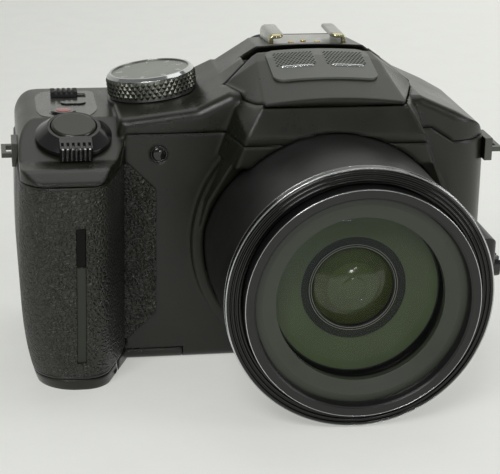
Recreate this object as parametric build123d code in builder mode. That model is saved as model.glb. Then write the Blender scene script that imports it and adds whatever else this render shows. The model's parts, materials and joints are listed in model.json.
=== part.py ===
"""A bridge camera with a retracting zoom barrel, taken apart into its separate pieces.

Millimetres. +Z is up and the lens looks along -Y. The origin is the mouth of the tripod
socket, on the base plane. Most places are given as (u, v, z): u across from the optical
axis, v back from the front face and z up from the base plane.
"""

from build123d import *
from math import asin, atan2, cos, degrees, pi, radians, sin, sqrt, tan
import os

os.makedirs("parts", exist_ok=True)

# Driving sizes of the whole camera
body_depth = 42.0
wall = 1.8
seam = 0.3
overrun = 1.0
running_gap = 0.15
running_fit = 0.06
far = 200.0

# Where the optical axis and the front face lie from the tripod socket
lens_x = 14.0
lens_z = 32.8
front_y = -17.0

# The slab behind the lens, seen from the front
slab_right = 45.3
slab_left = -56.0
foot_corner = 3.0
shoulder_low = (45.3, 53.0)
shoulder_high = (42.2, 61.4)
shoulder_slope = (35.4, 65.2)
shoulder_foot = (25.2, 69.8)
hump_foot = (24.4, 71.6)
dial_deck_high = (-33.0, 67.6)
dial_deck_low = (-52.6, 65.2)
dial_deck_step = (-53.4, 61.0)
shoulder_rounds = (12.0, 4.0, 20.0)
edge_round = 2.4
plan_round = 12.0

# The grip column, as level sections from the foot up: (z, left edge, front edge)
grip_levels = (
    (0.0, -75.0, -17.6),
    (16.0, -78.2, -21.6),
    (34.0, -79.0, -23.4),
    (52.0, -78.7, -23.6),
    (66.0, -78.2, -23.4),
)
grip_inner = -36.0
grip_rear = 42.4
grip_crest = -58.5
grip_valley = (-50.6, 3.0)
grip_rear_round = 8.0
grip_front_round = 10.0
grip_crest_round = 7.0
grip_deck = 63.6
grip_top_round = 5.0
ramp_head = 10.5
ramp_foot = (-9.0, 57.6)
brow = (-17.8, 57.9)
brow_round = 3.0
cap_foot = 54.6

# The hump and nose, as upright sections: (v, top half width and z, crown,
# shoulder half width and z, foot half width)
nose_tip = -16.0
hump_sections = (
    (nose_tip, 18.6, 70.2, 1.5, 22.3, 63.4, 25.0),
    (12.0, 16.2, 77.0, 1.0, 24.6, 71.4, 30.0),
    (22.0, 14.5, 78.6, 0.6, 24.2, 71.8, 30.0),
    (42.0, 13.6, 77.0, 0.5, 23.4, 70.8, 29.0),
)
hump_base = 56.0
nose_lip = (-11.4, 70.9)
nose_chin = (-14.4, 63.2)

# The shroud that leads from the nose down to the front face
shroud_foot = (34.2, 30.0)
shroud_knee = (31.4, 45.0)
shroud_brow = (22.6, 64.0)
shroud_start = (-2.0, 34.0)

# The collar round the lens
collar_radius = 34.6
collar_depth = 3.0
barrel_radius = 31.4
barrel_clearance = 0.3


optical_axis = Axis((lens_x, front_y, lens_z), (0, -1, 0))
lens_section = Plane(origin=(lens_x, front_y, lens_z), x_dir=(0, -1, 0), z_dir=(-1, 0, 0))


def plan(z=0.0):
    """A level plane over the optical axis, with x across and y back."""
    return Plane(origin=(lens_x, front_y, z))


def face_on(v=0.0):
    """An upright plane seen from the front, with x across, y up and its normal forward."""
    return Plane(origin=(lens_x, front_y + v, 0), x_dir=(1, 0, 0), z_dir=(0, -1, 0))


def side_on(u=0.0):
    """An upright plane seen from the side, with x back, y up and its normal to +X."""
    return Plane(origin=(lens_x + u, front_y, 0), x_dir=(0, 1, 0), z_dir=(1, 0, 0))


def optic(v=0.0, u=0.0, z=0.0):
    """An upright plane on the optical axis, seen from the front, with its normal forward."""
    return Plane(origin=place(u, v, lens_z + z), x_dir=(1, 0, 0), z_dir=(0, -1, 0))


def place(u, v, z):
    """A point of the camera as a point of the model's frame."""
    return (lens_x + u, front_y + v, z)


def turned(plane, angle):
    """A plane turned about its own normal by an angle in degrees."""
    across = plane.x_dir * cos(radians(angle)) + plane.y_dir * sin(radians(angle))
    return Plane(origin=plane.origin, x_dir=across, z_dir=plane.z_dir)


def nearest(sketch, corner):
    """The corner of an outline that lies nearest to a point of its own plane."""
    return sketch.vertices().sort_by_distance((*corner, 0))[0]


def block(us, vs, zs):
    """A plain block between two places across, two back and two up."""
    with BuildPart() as cell:
        with BuildSketch(plan(zs[0])):
            with Locations((sum(us) / 2, sum(vs) / 2)):
                Rectangle(us[1] - us[0], vs[1] - vs[0])
        extrude(amount=zs[1] - zs[0])
    return cell.part


def disc(plane, radius, height):
    """A round post that stands on a plane."""
    with BuildPart() as post:
        with BuildSketch(plane):
            Circle(radius)
        extrude(amount=height)
    return post.part


def ring_profile(*points):
    """A closed profile of (distance forward of the front face, radius) points."""
    with BuildSketch(lens_section) as profile:
        with BuildLine():
            Polyline(*points, close=True)
        make_face()
    return profile.sketch


def mirrored(points):
    """Right-hand points followed by their mirror images, so that the outline closes."""
    return [*points, *[(-across, up) for across, up in reversed(points)]]


def slab_form(inset):
    """The slab with its shoulder and dial deck, drawn in from the camera's skin by inset."""
    with BuildPart() as slab:
        with BuildSketch(face_on()) as outline:
            with BuildLine():
                Polyline(
                    (slab_left, 0),
                    (slab_right, 0),
                    shoulder_low,
                    shoulder_high,
                    shoulder_slope,
                    shoulder_foot,
                    (-hump_foot[0], hump_foot[1]),
                    dial_deck_high,
                    dial_deck_low,
                    dial_deck_step,
                    (slab_left, dial_deck_step[1]),
                    close=True,
                )
            make_face()
            corners = ((slab_right, 0), shoulder_low, shoulder_high, shoulder_slope)
            for corner, radius in zip(corners, (foot_corner, *shoulder_rounds)):
                fillet(nearest(outline, corner), radius=radius)
            if inset:
                offset(amount=-inset, kind=Kind.INTERSECTION)
        extrude(amount=-(body_depth - inset))
        if not inset:
            rims = slab.faces().filter_by(Axis.Y).edges()
            fillet(rims, radius=edge_round)
        with BuildSketch(plan(-overrun)) as footprint:
            with Locations((slab_right - inset - far / 2, far / 2 + inset)):
                Rectangle(far, far)
            fillet(nearest(footprint, (slab_right - inset, inset)), radius=plan_round - inset)
        extrude(amount=far, mode=Mode.INTERSECT)
    return slab.part


def grip_form(inset):
    """The grip column with its ramp and brow, drawn in from the camera's skin by inset."""
    with BuildPart() as grip:
        for level, left, front in grip_levels:
            with BuildSketch(plan(level)) as section:
                with BuildLine():
                    Polyline(
                        (grip_inner, grip_rear),
                        (left, grip_rear),
                        (left, front),
                        (grip_crest, front),
                        grip_valley,
                        close=True,
                    )
                make_face()
                corners = ((left, grip_rear), (left, front), (grip_crest, front))
                rounds = (grip_rear_round, grip_front_round, grip_crest_round)
                for corner, radius in zip(corners, rounds):
                    fillet(nearest(section, corner), radius=radius)
                if inset:
                    offset(amount=-inset, kind=Kind.INTERSECTION)
        loft()
        with BuildSketch(side_on(grip_inner)) as profile:
            with BuildLine():
                Polyline(
                    (far, inset),
                    (far, grip_deck - inset),
                    (ramp_head, grip_deck - inset),
                    (ramp_foot[0] + inset / 2, ramp_foot[1] - inset),
                    (brow[0] + inset, brow[1] - inset),
                    (grip_levels[3][2], cap_foot - inset),
                    (-far, cap_foot - inset),
                    (-far, inset),
                    close=True,
                )
            make_face()
            if not inset:
                fillet(nearest(profile, brow), radius=brow_round)
        extrude(amount=-far, mode=Mode.INTERSECT)
        top_left = grip_levels[-1][1]
        with BuildSketch(face_on(-far)) as outline:
            with BuildLine():
                Polyline(
                    (grip_inner, 0),
                    (grip_inner, grip_deck),
                    (top_left + inset, grip_deck),
                    (top_left + inset, cap_foot),
                    (-far, cap_foot - grip_top_round),
                    (-far, 0),
                    close=True,
                )
            make_face()
            fillet(nearest(outline, (top_left + inset, grip_deck)), radius=grip_top_round)
        extrude(amount=-2 * far, mode=Mode.INTERSECT)
    return grip.part


def hump_form(inset):
    """The hump and nose over the lens, drawn in from the camera's skin by inset."""
    with BuildPart() as hump:
        for v, top_half, top_z, crown, mid_half, mid_z, foot_half in hump_sections:
            with BuildSketch(face_on(v)):
                with BuildLine():
                    Polyline(
                        (top_half, top_z),
                        (mid_half, mid_z),
                        (foot_half, hump_base),
                        (-foot_half, hump_base),
                        (-mid_half, mid_z),
                        (-top_half, top_z),
                    )
                    ThreePointArc((-top_half, top_z), (0, top_z + crown), (top_half, top_z))
                make_face()
                if inset:
                    offset(amount=-inset, kind=Kind.INTERSECTION)
        loft(ruled=True)
        with BuildSketch(side_on(-far)) as profile:
            with BuildLine():
                Polyline(
                    (body_depth - inset, hump_base - inset),
                    (body_depth - inset, far),
                    (nose_lip[0] + inset, far),
                    (nose_lip[0] + inset, nose_lip[1] + hump_sections[0][3]),
                    (nose_lip[0] + inset, nose_lip[1]),
                    (nose_chin[0] + inset, nose_chin[1]),
                    (nose_chin[0] + inset, hump_base - inset),
                    close=True,
                )
            make_face()
        extrude(amount=2 * far, mode=Mode.INTERSECT)
    return hump.part


def shroud_form(inset):
    """The sloping shroud under the nose, drawn in from the camera's skin by inset."""
    with BuildPart() as shroud:
        with BuildSketch(face_on(-far)):
            with BuildLine():
                Polyline(*mirrored([shroud_foot, shroud_knee, shroud_brow]), close=True)
            make_face()
            if inset:
                offset(amount=-inset, kind=Kind.INTERSECTION)
        extrude(amount=-2 * far)
        with BuildSketch(side_on(-far)):
            with BuildLine():
                Polyline(
                    (body_depth / 2, shroud_foot[1] - overrun),
                    (inset, shroud_foot[1] - overrun),
                    (inset, shroud_foot[1]),
                    (shroud_start[0] + inset, shroud_start[1]),
                    (nose_chin[0] + inset, nose_chin[1]),
                    (nose_chin[0] + inset, shroud_brow[1] + overrun),
                    (body_depth / 2, shroud_brow[1] + overrun),
                    close=True,
                )
            make_face()
        extrude(amount=2 * far, mode=Mode.INTERSECT)
    return shroud.part



# The parting of the covers
floor_band = 3.4
rear_split = 26.0
seam_low = 54.8
seam_high = 61.5
seam_right = 57.6
seam_steps = (-53.4, -51.0, 28.0, 34.0)
rubber_skin = 1.2

# The monitor and its pocket in the rear
monitor_across = (-33.0, 36.5)
monitor_up = (3.9, 55.2)
monitor_thick = 8.0
monitor_proud = 0.3
monitor_gap = 0.4
hinge_u = 41.5
hinge_setback = 4.3
hinge_radius = 3.6
hinge_sweep = 6.6
hinge_up = (14.4, 44.6)
hinge_pin_radius = 1.5
hinge_pin_reach = 4.0
monitor_rear = body_depth - monitor_proud
monitor_front = monitor_rear - monitor_thick
hinge_v = body_depth - hinge_setback
pocket_floor = monitor_front - monitor_gap
pocket_roof = monitor_up[1] + monitor_gap
notch_floor = hinge_v - hinge_sweep


def pocket_form(grown):
    """The pocket of the monitor and the notch of its hinge, grown into the casing."""
    with BuildPart() as pocket:
        left = monitor_across[0] - monitor_gap - grown
        notch_left = monitor_across[1] + monitor_gap - grown
        rise = (floor_band - grown, pocket_roof + grown)
        add(block((left, far), (pocket_floor - grown, far), rise))
        add(block((notch_left, far), (notch_floor - grown, far), rise))
    return pocket.part


# The pop-up flash lid, cut out of the hump, and its hinge at the lid's rear
lid_rear = 18.0
lid_corner = (24.6, 11.0)
lid_rear_half = 16.6
lid_nose_half = 17.6
lid_floor = 66.0
lid_hinge = (19.4, 74.0)
knuckle_radius = 3.7
knuckle_half = 14.2
lid_sweep = 5.85
lid_sweep_half = 18.6
lid_pin_radius = 0.9
lid_pin_reach = 1.5
lid_clear = 0.55


def lid_region(grown):
    """The block that cuts the flash lid out of the hump, grown by a gap."""
    with BuildPart() as region:
        with BuildSketch(plan(0)):
            with BuildLine():
                Polyline(
                    *mirrored(
                        [
                            (lid_nose_half + grown, -far),
                            (lid_nose_half + grown, nose_lip[0]),
                            (lid_corner[0] + grown, lid_corner[1] + grown),
                            (lid_rear_half + grown, lid_rear + grown),
                        ]
                    ),
                    close=True,
                )
            make_face()
        extrude(amount=far)
        with BuildSketch(side_on(-far)):
            with BuildLine():
                Polyline(
                    (-far, nose_lip[1] - grown),
                    (nose_lip[0] + wall + seam, nose_lip[1] - grown),
                    (nose_lip[0] + wall + seam, lid_floor - grown),
                    (far, lid_floor - grown),
                    (far, far),
                    (-far, far),
                    close=True,
                )
            make_face()
        extrude(amount=2 * far, mode=Mode.INTERSECT)
    return region.part


# The closed skin of the camera and the space inside it
with BuildPart() as casing:
    add(disc(optic(overrun), collar_radius, collar_depth + overrun))
    add(block((-far, far), (-far, far), (0, far)), mode=Mode.INTERSECT)
    for form in (slab_form, grip_form, hump_form, shroud_form):
        add(form(0.0))
    add(pocket_form(0.0), mode=Mode.SUBTRACT)

with BuildPart() as hollow:
    for form in (slab_form, hump_form, shroud_form):
        add(form(wall))
    add(grip_form(wall + rubber_skin))
    add(pocket_form(wall), mode=Mode.SUBTRACT)

# The grip rubber, a skin let into the grip with a flap on the front face
rubber_up = (4.2, cap_foot - seam)
rubber_back = 19.0
flap_across = (-53.0, -43.6)
flap_up = (6.8, 54.0)
flap_proud = 0.9
flap_cut = 7.0
strip_across = (-65.4, -63.0)
strip_up = (8.0, 44.7)
strip_window_foot = 34.6
strip_depth = 0.5

with BuildPart() as strip:
    add(grip_form(0.0))
    add(grip_form(strip_depth), mode=Mode.SUBTRACT)
    add(block(strip_across, (-far, 0), strip_up), mode=Mode.INTERSECT)

with BuildPart() as strip_window:
    add(grip_form(0.0))
    add(grip_form(rubber_skin), mode=Mode.SUBTRACT)
    add(block(strip_across, (-far, 0), (strip_window_foot, strip_up[1])), mode=Mode.INTERSECT)

with BuildPart() as grip_rubber:
    add(grip_form(0.0))
    add(grip_form(rubber_skin), mode=Mode.SUBTRACT)
    add(block((-far, grip_valley[0]), (-far, rubber_back), rubber_up), mode=Mode.INTERSECT)
    with BuildSketch(face_on()) as flap:
        with Locations((sum(flap_across) / 2, sum(flap_up) / 2)):
            Rectangle(flap_across[1] - flap_across[0], flap_up[1] - flap_up[0])
        for up in flap_up:
            chamfer(nearest(flap, (flap_across[1], up)), length=flap_cut)
    extrude(amount=flap_proud)
    add(strip.part, mode=Mode.SUBTRACT)
    add(strip_window.part, mode=Mode.SUBTRACT)
grip_rubber.part.label = "grip_rubber"

# The skin of the casing before it is parted into covers
with BuildPart() as skin:
    add(casing.part)
    add(hollow.part, mode=Mode.SUBTRACT)
    add(grip_rubber.part, mode=Mode.SUBTRACT)
    add(strip.part, mode=Mode.SUBTRACT)
    add(strip_window.part, mode=Mode.SUBTRACT)
    add(disc(optic(body_depth / 4), barrel_radius + barrel_clearance, far), mode=Mode.SUBTRACT)


def top_region(gap):
    """Everything above the stepped seam under the top cover, raised by a gap."""
    with BuildPart() as region:
        with BuildSketch(face_on(-far)):
            with BuildLine():
                Polyline(
                    (-far, seam_low + gap),
                    (seam_steps[0], seam_low + gap),
                    (seam_steps[1], seam_high + gap),
                    (seam_steps[2], seam_high + gap),
                    (seam_steps[3], seam_right + gap),
                    (far, seam_right + gap),
                    (far, far),
                    (-far, far),
                    close=True,
                )
            make_face()
        extrude(amount=-2 * far)
    return region.part


# Places of the dials, the buttons, the shoe and the eyepiece, and the holes for them
key_cluster = (-48.0, 25.0)
key_ring = (3.4, 9.0)
key_gap = 0.5
menu_radius = 3.0
small_key_radius = 2.7
disp_spot = (-40.6, 9.6)
quick_spot = (-55.4, 9.6)
play_spot = (-41.6, 45.6)
key_hole_gap = 0.15
dial_spot = (-42.0, 24.0, 66.9)
dial_tilt = atan2(dial_deck_high[1] - dial_deck_low[1], dial_deck_high[0] - dial_deck_low[0])
dial_radius = 11.5
dial_height = 6.1
dial_collar_radius = 12.2
dial_collar_sink = 1.6
dial_stem_radius = 3.0
dial_stem_reach = 5.0
lever_spot = (-64.3, 0.9, 61.0)
lever_tilt = atan2(grip_deck - ramp_foot[1], ramp_head - ramp_foot[0])
lever_hub_radius = 4.5
lever_hub_reach = 4.2
record_spot = (-66.0, 15.6)
record_radius = 3.1
burst_spot = (-63.0, 25.0)
burst_size = (6.4, 3.4)
power_spot = (-63.0, 33.2)
power_size = (7.0, 4.6)
power_travel = 4.0
power_stem = (3.0, 2.0)
shoe_back = (26.6, 41.7)
shoe_half = 10.4
shoe_gap = 0.15
shoe_seat = 76.2
shoe_pad = 2.2
eye_up = 68.2
eye_window = (17.0, 11.0)
eye_tunnel_wall = 1.6
eye_tunnel_back = 34.0
lock_spot = (-41.6, 57.0)
lock_radius = 2.3
evf_spot = (26.4, 62.8)
evf_radius = 2.3
flash_button_back = 31.0
flash_button_radius = 2.2
rear_dial_spot = (-61.0, 36.6, 55.9)
rear_dial_radius = 6.9
rear_dial_width = 2.8
diopter_spot = (19.2, 38.6, 67.0)
diopter_radius = 4.8
diopter_width = 2.6
wheel_gap = 0.35
wheel_axle = 0.7


def rear_plane(spot, v=grip_rear):
    """An upright plane on the rear of the camera, seen from behind, with its normal to +Y."""
    return Plane(origin=place(spot[0], v, spot[1]), x_dir=(-1, 0, 0), z_dir=(0, 1, 0))


dial_frame = Plane(
    origin=place(*dial_spot), x_dir=(cos(dial_tilt), 0, sin(dial_tilt)),
    z_dir=(-sin(dial_tilt), 0, cos(dial_tilt)),
)
lever_frame = Plane(
    origin=place(*lever_spot), x_dir=(1, 0, 0), z_dir=(0, -sin(lever_tilt), cos(lever_tilt))
)
flank_slope = atan2(hump_sections[2][2] - hump_sections[2][5], hump_sections[2][4] - hump_sections[2][1])
flank_across = (hump_sections[2][1] + hump_sections[2][4]) / 2
flank_up = (hump_sections[3][2] + hump_sections[3][5]) / 2 + seam
flank_frame = Plane(
    origin=place(flank_across - seam, flash_button_back, flank_up),
    x_dir=(0, 1, 0), z_dir=(sin(flank_slope), 0, cos(flank_slope)),
)
diopter_plane = Plane(origin=place(*diopter_spot), x_dir=(0, 1, 0), z_dir=(1, 0, 0))
rear_dial_plane = Plane(origin=place(*rear_dial_spot))
lid_axis_plane = Plane(
    origin=place(0, *lid_hinge), x_dir=(0, 1, 0), z_dir=(1, 0, 0)
)
spot_planes = (
    (rear_plane(lock_spot), lock_radius),
    (rear_plane(evf_spot, body_depth), evf_radius),
    (rear_plane(disp_spot), small_key_radius),
    (rear_plane(quick_spot), small_key_radius),
    (rear_plane(play_spot), small_key_radius),
    (rear_plane(key_cluster), key_ring[1]),
    (flank_frame, flash_button_radius),
)

with BuildPart() as holes:
    for plane, radius in spot_planes:
        with BuildSketch(plane.offset(overrun)):
            Circle(radius + key_hole_gap)
        extrude(amount=-2 * wall - overrun)
    with BuildSketch(rear_plane((0, eye_up), body_depth + overrun)):
        RectangleRounded(*eye_window, radius=eye_window[1] / 4)
    extrude(amount=-(body_depth - eye_tunnel_back + 2 * overrun))
    add(disc(dial_frame.offset(-dial_stem_reach), dial_stem_radius + running_fit, 2 * dial_stem_reach))
    add(disc(dial_frame.offset(-seam), dial_radius + wheel_gap, dial_stem_reach))
    add(disc(lever_frame.offset(-lever_hub_reach), lever_hub_radius + running_fit, 2 * lever_hub_reach))
    with BuildSketch(plan(grip_deck - 2 * wall)):
        with Locations(record_spot):
            Circle(record_radius + key_hole_gap)
        with Locations(burst_spot):
            SlotOverall(burst_size[0] + 2 * key_hole_gap, burst_size[1] + 2 * key_hole_gap)
        with Locations(power_spot):
            Rectangle(power_stem[0] + power_travel + 2 * key_hole_gap, power_stem[1] + 2 * key_hole_gap)
    extrude(amount=3 * wall)
    for plane, radius, width in (
        (rear_dial_plane, rear_dial_radius, rear_dial_width),
        (diopter_plane, diopter_radius, diopter_width),
    ):
        add(disc(plane.offset(-wheel_gap), radius + wheel_gap, width + 2 * wheel_gap))
        axle_room = width + 2 * wheel_axle + 2 * wheel_gap
        add(disc(plane.offset(-wheel_axle - wheel_gap), wheel_axle + running_fit, axle_room))

# Bottom cover: the tripod bush, the battery door and the screws pass through it
bush_radius = 6.0
bush_height = 6.8
bush_thread_radius = 3.1
bush_thread_depth = 5.5
door_across = (-73.5, -54.5)
door_back = (-8.0, 30.0)
door_thick = 1.5
door_gap = 0.3
door_pin_radius = 0.5
door_pin_reach = 0.8
door_round = 0.6
door_pin_inset = 0.75
screw_head_radius = 1.7
screw_head_depth = 0.9
screw_shank_radius = 0.9
screw_length = 6.0
screw_spots = ((-44.0, 8.0), (-44.0, 36.0), (4.0, 29.0), (38.0, 8.0), (38.0, 26.0))
skirt_across = (-collar_radius - wall, collar_radius + wall)
skirt_back = wall + seam



def door_pin(grown):
    """The pin that the battery door turns on, between the ends of its opening."""
    reach = door_gap + door_pin_reach + grown
    height = running_gap + (door_thick - running_gap) / 2
    spot = (door_across[1] - door_pin_inset, door_back[1] + reach, height)
    start = Plane(origin=place(*spot), x_dir=(1, 0, 0), z_dir=(0, -1, 0))
    return disc(start, door_pin_radius + grown, door_back[1] - door_back[0] + 2 * reach)


with BuildPart() as bottom_cover:
    add(skin.part)
    add(block((-far, far), (-far, far), (-far, floor_band - seam)), mode=Mode.INTERSECT)
    skirt_gap = (skirt_across[0] - seam, skirt_across[1] + seam)
    add(block(skirt_gap, (-far, skirt_back + seam), (-far, far)), mode=Mode.SUBTRACT)
    add(disc(Plane.XY.offset(-overrun), bush_radius + barrel_clearance, far), mode=Mode.SUBTRACT)
    opening_across = (door_across[0] - door_gap, door_across[1] + door_gap)
    opening_back = (door_back[0] - door_gap, door_back[1] + door_gap)
    add(block(opening_across, opening_back, (-overrun, far)), mode=Mode.SUBTRACT)
    add(door_pin(running_fit), mode=Mode.SUBTRACT)
    with BuildSketch(plan(0)):
        with Locations(*screw_spots):
            Circle(screw_head_radius + running_gap)
    extrude(amount=screw_head_depth + running_gap, mode=Mode.SUBTRACT)
    with BuildSketch(plan(-overrun)):
        with Locations(*screw_spots):
            Circle(screw_shank_radius + running_gap)
    extrude(amount=floor_band + 2 * overrun, mode=Mode.SUBTRACT)
bottom_cover.part.label = "bottom_cover"


# Front cover: the shroud, the focus lamp window and the terminal opening
lamp_spot = (-42.8, 56.2)
lamp_radius = 2.0
terminal_back = (9.6, 24.6)
terminal_up = (16.0, 46.0)
terminal_thick = 1.5
terminal_pin_inset = 0.8
lug_spots = ((-1, 9.0, 55.6), (1, 9.0, 54.0))



def terminal_pin(grown):
    """The pin that the terminal door turns on, between the ends of its opening."""
    reach = door_gap + door_pin_reach + grown
    spot = (slab_right - terminal_thick / 2, terminal_back[0] + terminal_pin_inset, terminal_up[0] - reach)
    return disc(Plane(origin=place(*spot)), door_pin_radius + grown,
                terminal_up[1] - terminal_up[0] + 2 * reach)


with BuildPart() as front_region:
    add(block((-far, far), (-far, rear_split), (floor_band, far)))
    add(block(skirt_across, (-far, skirt_back), (-far, far)))

with BuildPart() as front_cover:
    add(skin.part)
    add(front_region.part, mode=Mode.INTERSECT)
    add(top_region(0.0), mode=Mode.SUBTRACT)
    add(holes.part, mode=Mode.SUBTRACT)
    with BuildSketch(face_on(-overrun)):
        with Locations(lamp_spot):
            Circle(lamp_radius + running_gap)
    extrude(amount=-far / 10, mode=Mode.SUBTRACT)
    opening_back = (terminal_back[0] - door_gap, terminal_back[1] + door_gap)
    opening_up = (terminal_up[0] - door_gap, terminal_up[1] + door_gap)
    add(block((slab_right - 2 * wall, far), opening_back, opening_up), mode=Mode.SUBTRACT)
    add(terminal_pin(running_fit), mode=Mode.SUBTRACT)
front_cover.part.label = "front_cover"

# Rear cover: the monitor pocket, the ears of its hinge and the rows of keys
thumb_across = (-76.6, -61.0)
thumb_up = (20.0, 51.0)
thumb_thick = 1.4
thumb_round = 6.0


def hinge_plane(up):
    """A level plane on the axis of the monitor's hinge."""
    return Plane(origin=place(hinge_u, hinge_v, up))


hinge_ears = (
    (floor_band + seam, hinge_up[0] - seam),
    (hinge_up[1] + seam, pocket_roof - monitor_gap),
)

with BuildPart() as rear_cover:
    add(skin.part)
    behind = (rear_split + seam, far)
    add(block((-far, far), behind, (floor_band, far)), mode=Mode.INTERSECT)
    add(top_region(0.0), mode=Mode.SUBTRACT)
    add(holes.part, mode=Mode.SUBTRACT)
    for foot, head in hinge_ears:
        add(disc(hinge_plane(foot), hinge_radius, head - foot))
        neck = (hinge_u - hinge_radius, hinge_u + hinge_radius)
        add(block(neck, (notch_floor - wall / 2, hinge_v), (foot, head)))
    for foot in (hinge_up[0] - hinge_pin_reach - seam, hinge_up[1]):
        pin_hole = disc(
            hinge_plane(foot), hinge_pin_radius + running_fit, hinge_pin_reach + 2 * seam
        )
        add(pin_hole, mode=Mode.SUBTRACT)
rear_cover.part.label = "rear_cover"

# Top cover: openings for the flash, the shoe, the dials, the eyepiece and the buttons
def bearing_block(us, vs, zs):
    """A block inside the top cover that reaches half way into its skin."""
    with BuildPart() as lump:
        add(block(us, vs, zs))
        add(hump_form(wall / 2), mode=Mode.INTERSECT)
    return lump.part


lug_inner = knuckle_half + seam
lug_across = (lug_inner, lug_inner + lid_pin_reach)
lug_bridge = (lid_hinge[0] + 2 * lid_pin_radius, lid_hinge[0] + 4 * lid_pin_radius)

with BuildPart() as pin_way:
    pin_end = lug_across[1] + lid_pin_radius
    add(disc(lid_axis_plane.offset(-pin_end), lid_pin_radius + running_fit, 2 * pin_end))

with BuildPart() as top_cover:
    add(skin.part)
    add(disc(dial_frame.offset(-dial_collar_sink), dial_collar_radius, dial_collar_sink - seam))
    shoe_bed = (-shoe_half - wall, shoe_half + wall)
    add(bearing_block(shoe_bed, (lid_hinge[0] + lid_sweep, body_depth), (shoe_seat - shoe_pad, far)))
    tunnel = (eye_window[0] / 2 + eye_tunnel_wall, eye_window[1] / 2 + eye_tunnel_wall)
    tunnel_up = (eye_up - tunnel[1], eye_up + tunnel[1])
    add(bearing_block((-tunnel[0], tunnel[0]), (eye_tunnel_back, body_depth), tunnel_up))
    add(top_region(seam), mode=Mode.INTERSECT)
    add(lid_region(lid_clear), mode=Mode.SUBTRACT)
    lid_room = disc(lid_axis_plane.offset(-lid_sweep_half), lid_sweep, 2 * lid_sweep_half)
    add(lid_room, mode=Mode.SUBTRACT)
    for turn in (1, -1):
        ear = sorted((turn * lug_across[0], turn * lug_across[1]))
        reach = sorted((turn * lug_across[0], turn * hump_sections[2][4]))
        rise = (lid_hinge[1] - lid_sweep, lid_hinge[1] + lid_pin_radius + lid_pin_radius / 4)
        add(block(ear, (lid_hinge[0] - 2 * lid_pin_radius, lug_bridge[1]), rise))
        add(bearing_block(reach, lug_bridge, rise))
    add(pin_way.part, mode=Mode.SUBTRACT)
    add(holes.part, mode=Mode.SUBTRACT)
    shoe_cut = (-shoe_half - shoe_gap, shoe_half + shoe_gap)
    add(block(shoe_cut, (shoe_back[0] - shoe_gap, far), (shoe_seat, far)), mode=Mode.SUBTRACT)
top_cover.part.label = "top_cover"


# Tripod bush, chassis and what is bolted to it inside
chassis_back = 7.2
chassis_sheet = 1.2
chassis_across = (-46.0, 41.0)
chassis_up = (8.2, 54.0)
chassis_window = 17.0
sensor_size = (30.0, 26.0)
sensor_can = (16.0, 13.0)
sensor_thick = 1.6
board_back = 15.0
board_across = (-28.0, 39.5)
board_up = (9.6, 52.0)
board_thick = 1.4
socket_rows = ((41.0, 6.4, 5.0), (31.5, 11.4, 3.4), (22.0, 8.4, 3.8))
socket_depth = 6.0
chip_spots = ((-14.0, 22.0, 9.0), (4.0, 34.0, 12.0), (20.0, 20.0, 7.0))
chip_thick = 1.4
battery_across = (-72.0, -57.4)
battery_back = (-7.0, 29.0)
battery_up = (3.6, 49.0)
battery_round = 2.0

with BuildPart() as tripod_bush:
    with BuildSketch(Plane.XY):
        Circle(bush_radius)
        Circle(bush_thread_radius, mode=Mode.SUBTRACT)
    extrude(amount=bush_height)
    with BuildSketch(Plane.XY.offset(bush_thread_depth)):
        Circle(bush_radius)
    extrude(amount=bush_height - bush_thread_depth)
tripod_bush.part.label = "tripod_bush"

with BuildPart() as chassis:
    sheet = (chassis_back, chassis_back + chassis_sheet)
    add(block(chassis_across, sheet, chassis_up))
    shelf = (chassis_up[0] - chassis_sheet, chassis_up[0])
    shelf_across = (-lens_x - bush_radius - wall, -lens_x + bush_radius + wall)
    add(block(shelf_across, (chassis_back, -front_y + bush_radius), shelf))
    add(disc(optic(body_depth), chassis_window, far), mode=Mode.SUBTRACT)
    for across in (chassis_across[0] + 2 * wall, chassis_across[1] - 2 * wall):
        post = (across - wall / 2, across + wall / 2)
        add(block(post, (chassis_back, board_back), (chassis_up[1] - 3 * wall, chassis_up[1] - 2 * wall)))
chassis.part.label = "chassis"

with BuildPart() as sensor_unit:
    with BuildSketch(optic(chassis_back + chassis_sheet + sensor_thick + seam)):
        Rectangle(2 * chassis_window + 4 * wall, sensor_size[1])
    extrude(amount=sensor_thick)
    with BuildSketch(optic(chassis_back + chassis_sheet + seam)):
        Rectangle(*sensor_can)
    extrude(amount=chassis_sheet)
sensor_unit.part.label = "sensor_unit"

with BuildPart() as main_board:
    add(block(board_across, (board_back + seam, board_back + seam + board_thick), board_up))
    rear_face = board_back + seam + board_thick
    for up, height, width in socket_rows:
        socket = (board_across[1] - socket_depth, board_across[1] + running_gap)
        add(block(socket, (rear_face, rear_face + width), (up - height / 2, up + height / 2)))
    for across, up, size in chip_spots:
        chip = (across - size / 2, across + size / 2)
        add(block(chip, (rear_face, rear_face + chip_thick), (up - size / 2, up + size / 2)))
main_board.part.label = "main_board"

with BuildPart() as battery:
    add(block(battery_across, battery_back, battery_up))
    fillet(battery.edges().filter_by(Axis.Z), radius=battery_round)
battery.part.label = "battery"

with BuildPart() as casing_screws:
    with BuildSketch(plan(running_gap)):
        with Locations(*screw_spots):
            Circle(screw_head_radius)
    extrude(amount=screw_head_depth)
    with BuildSketch(plan(running_gap)):
        with Locations(*screw_spots):
            Circle(screw_shank_radius)
    extrude(amount=screw_length)
casing_screws.part.label = "casing_screws"

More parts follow.
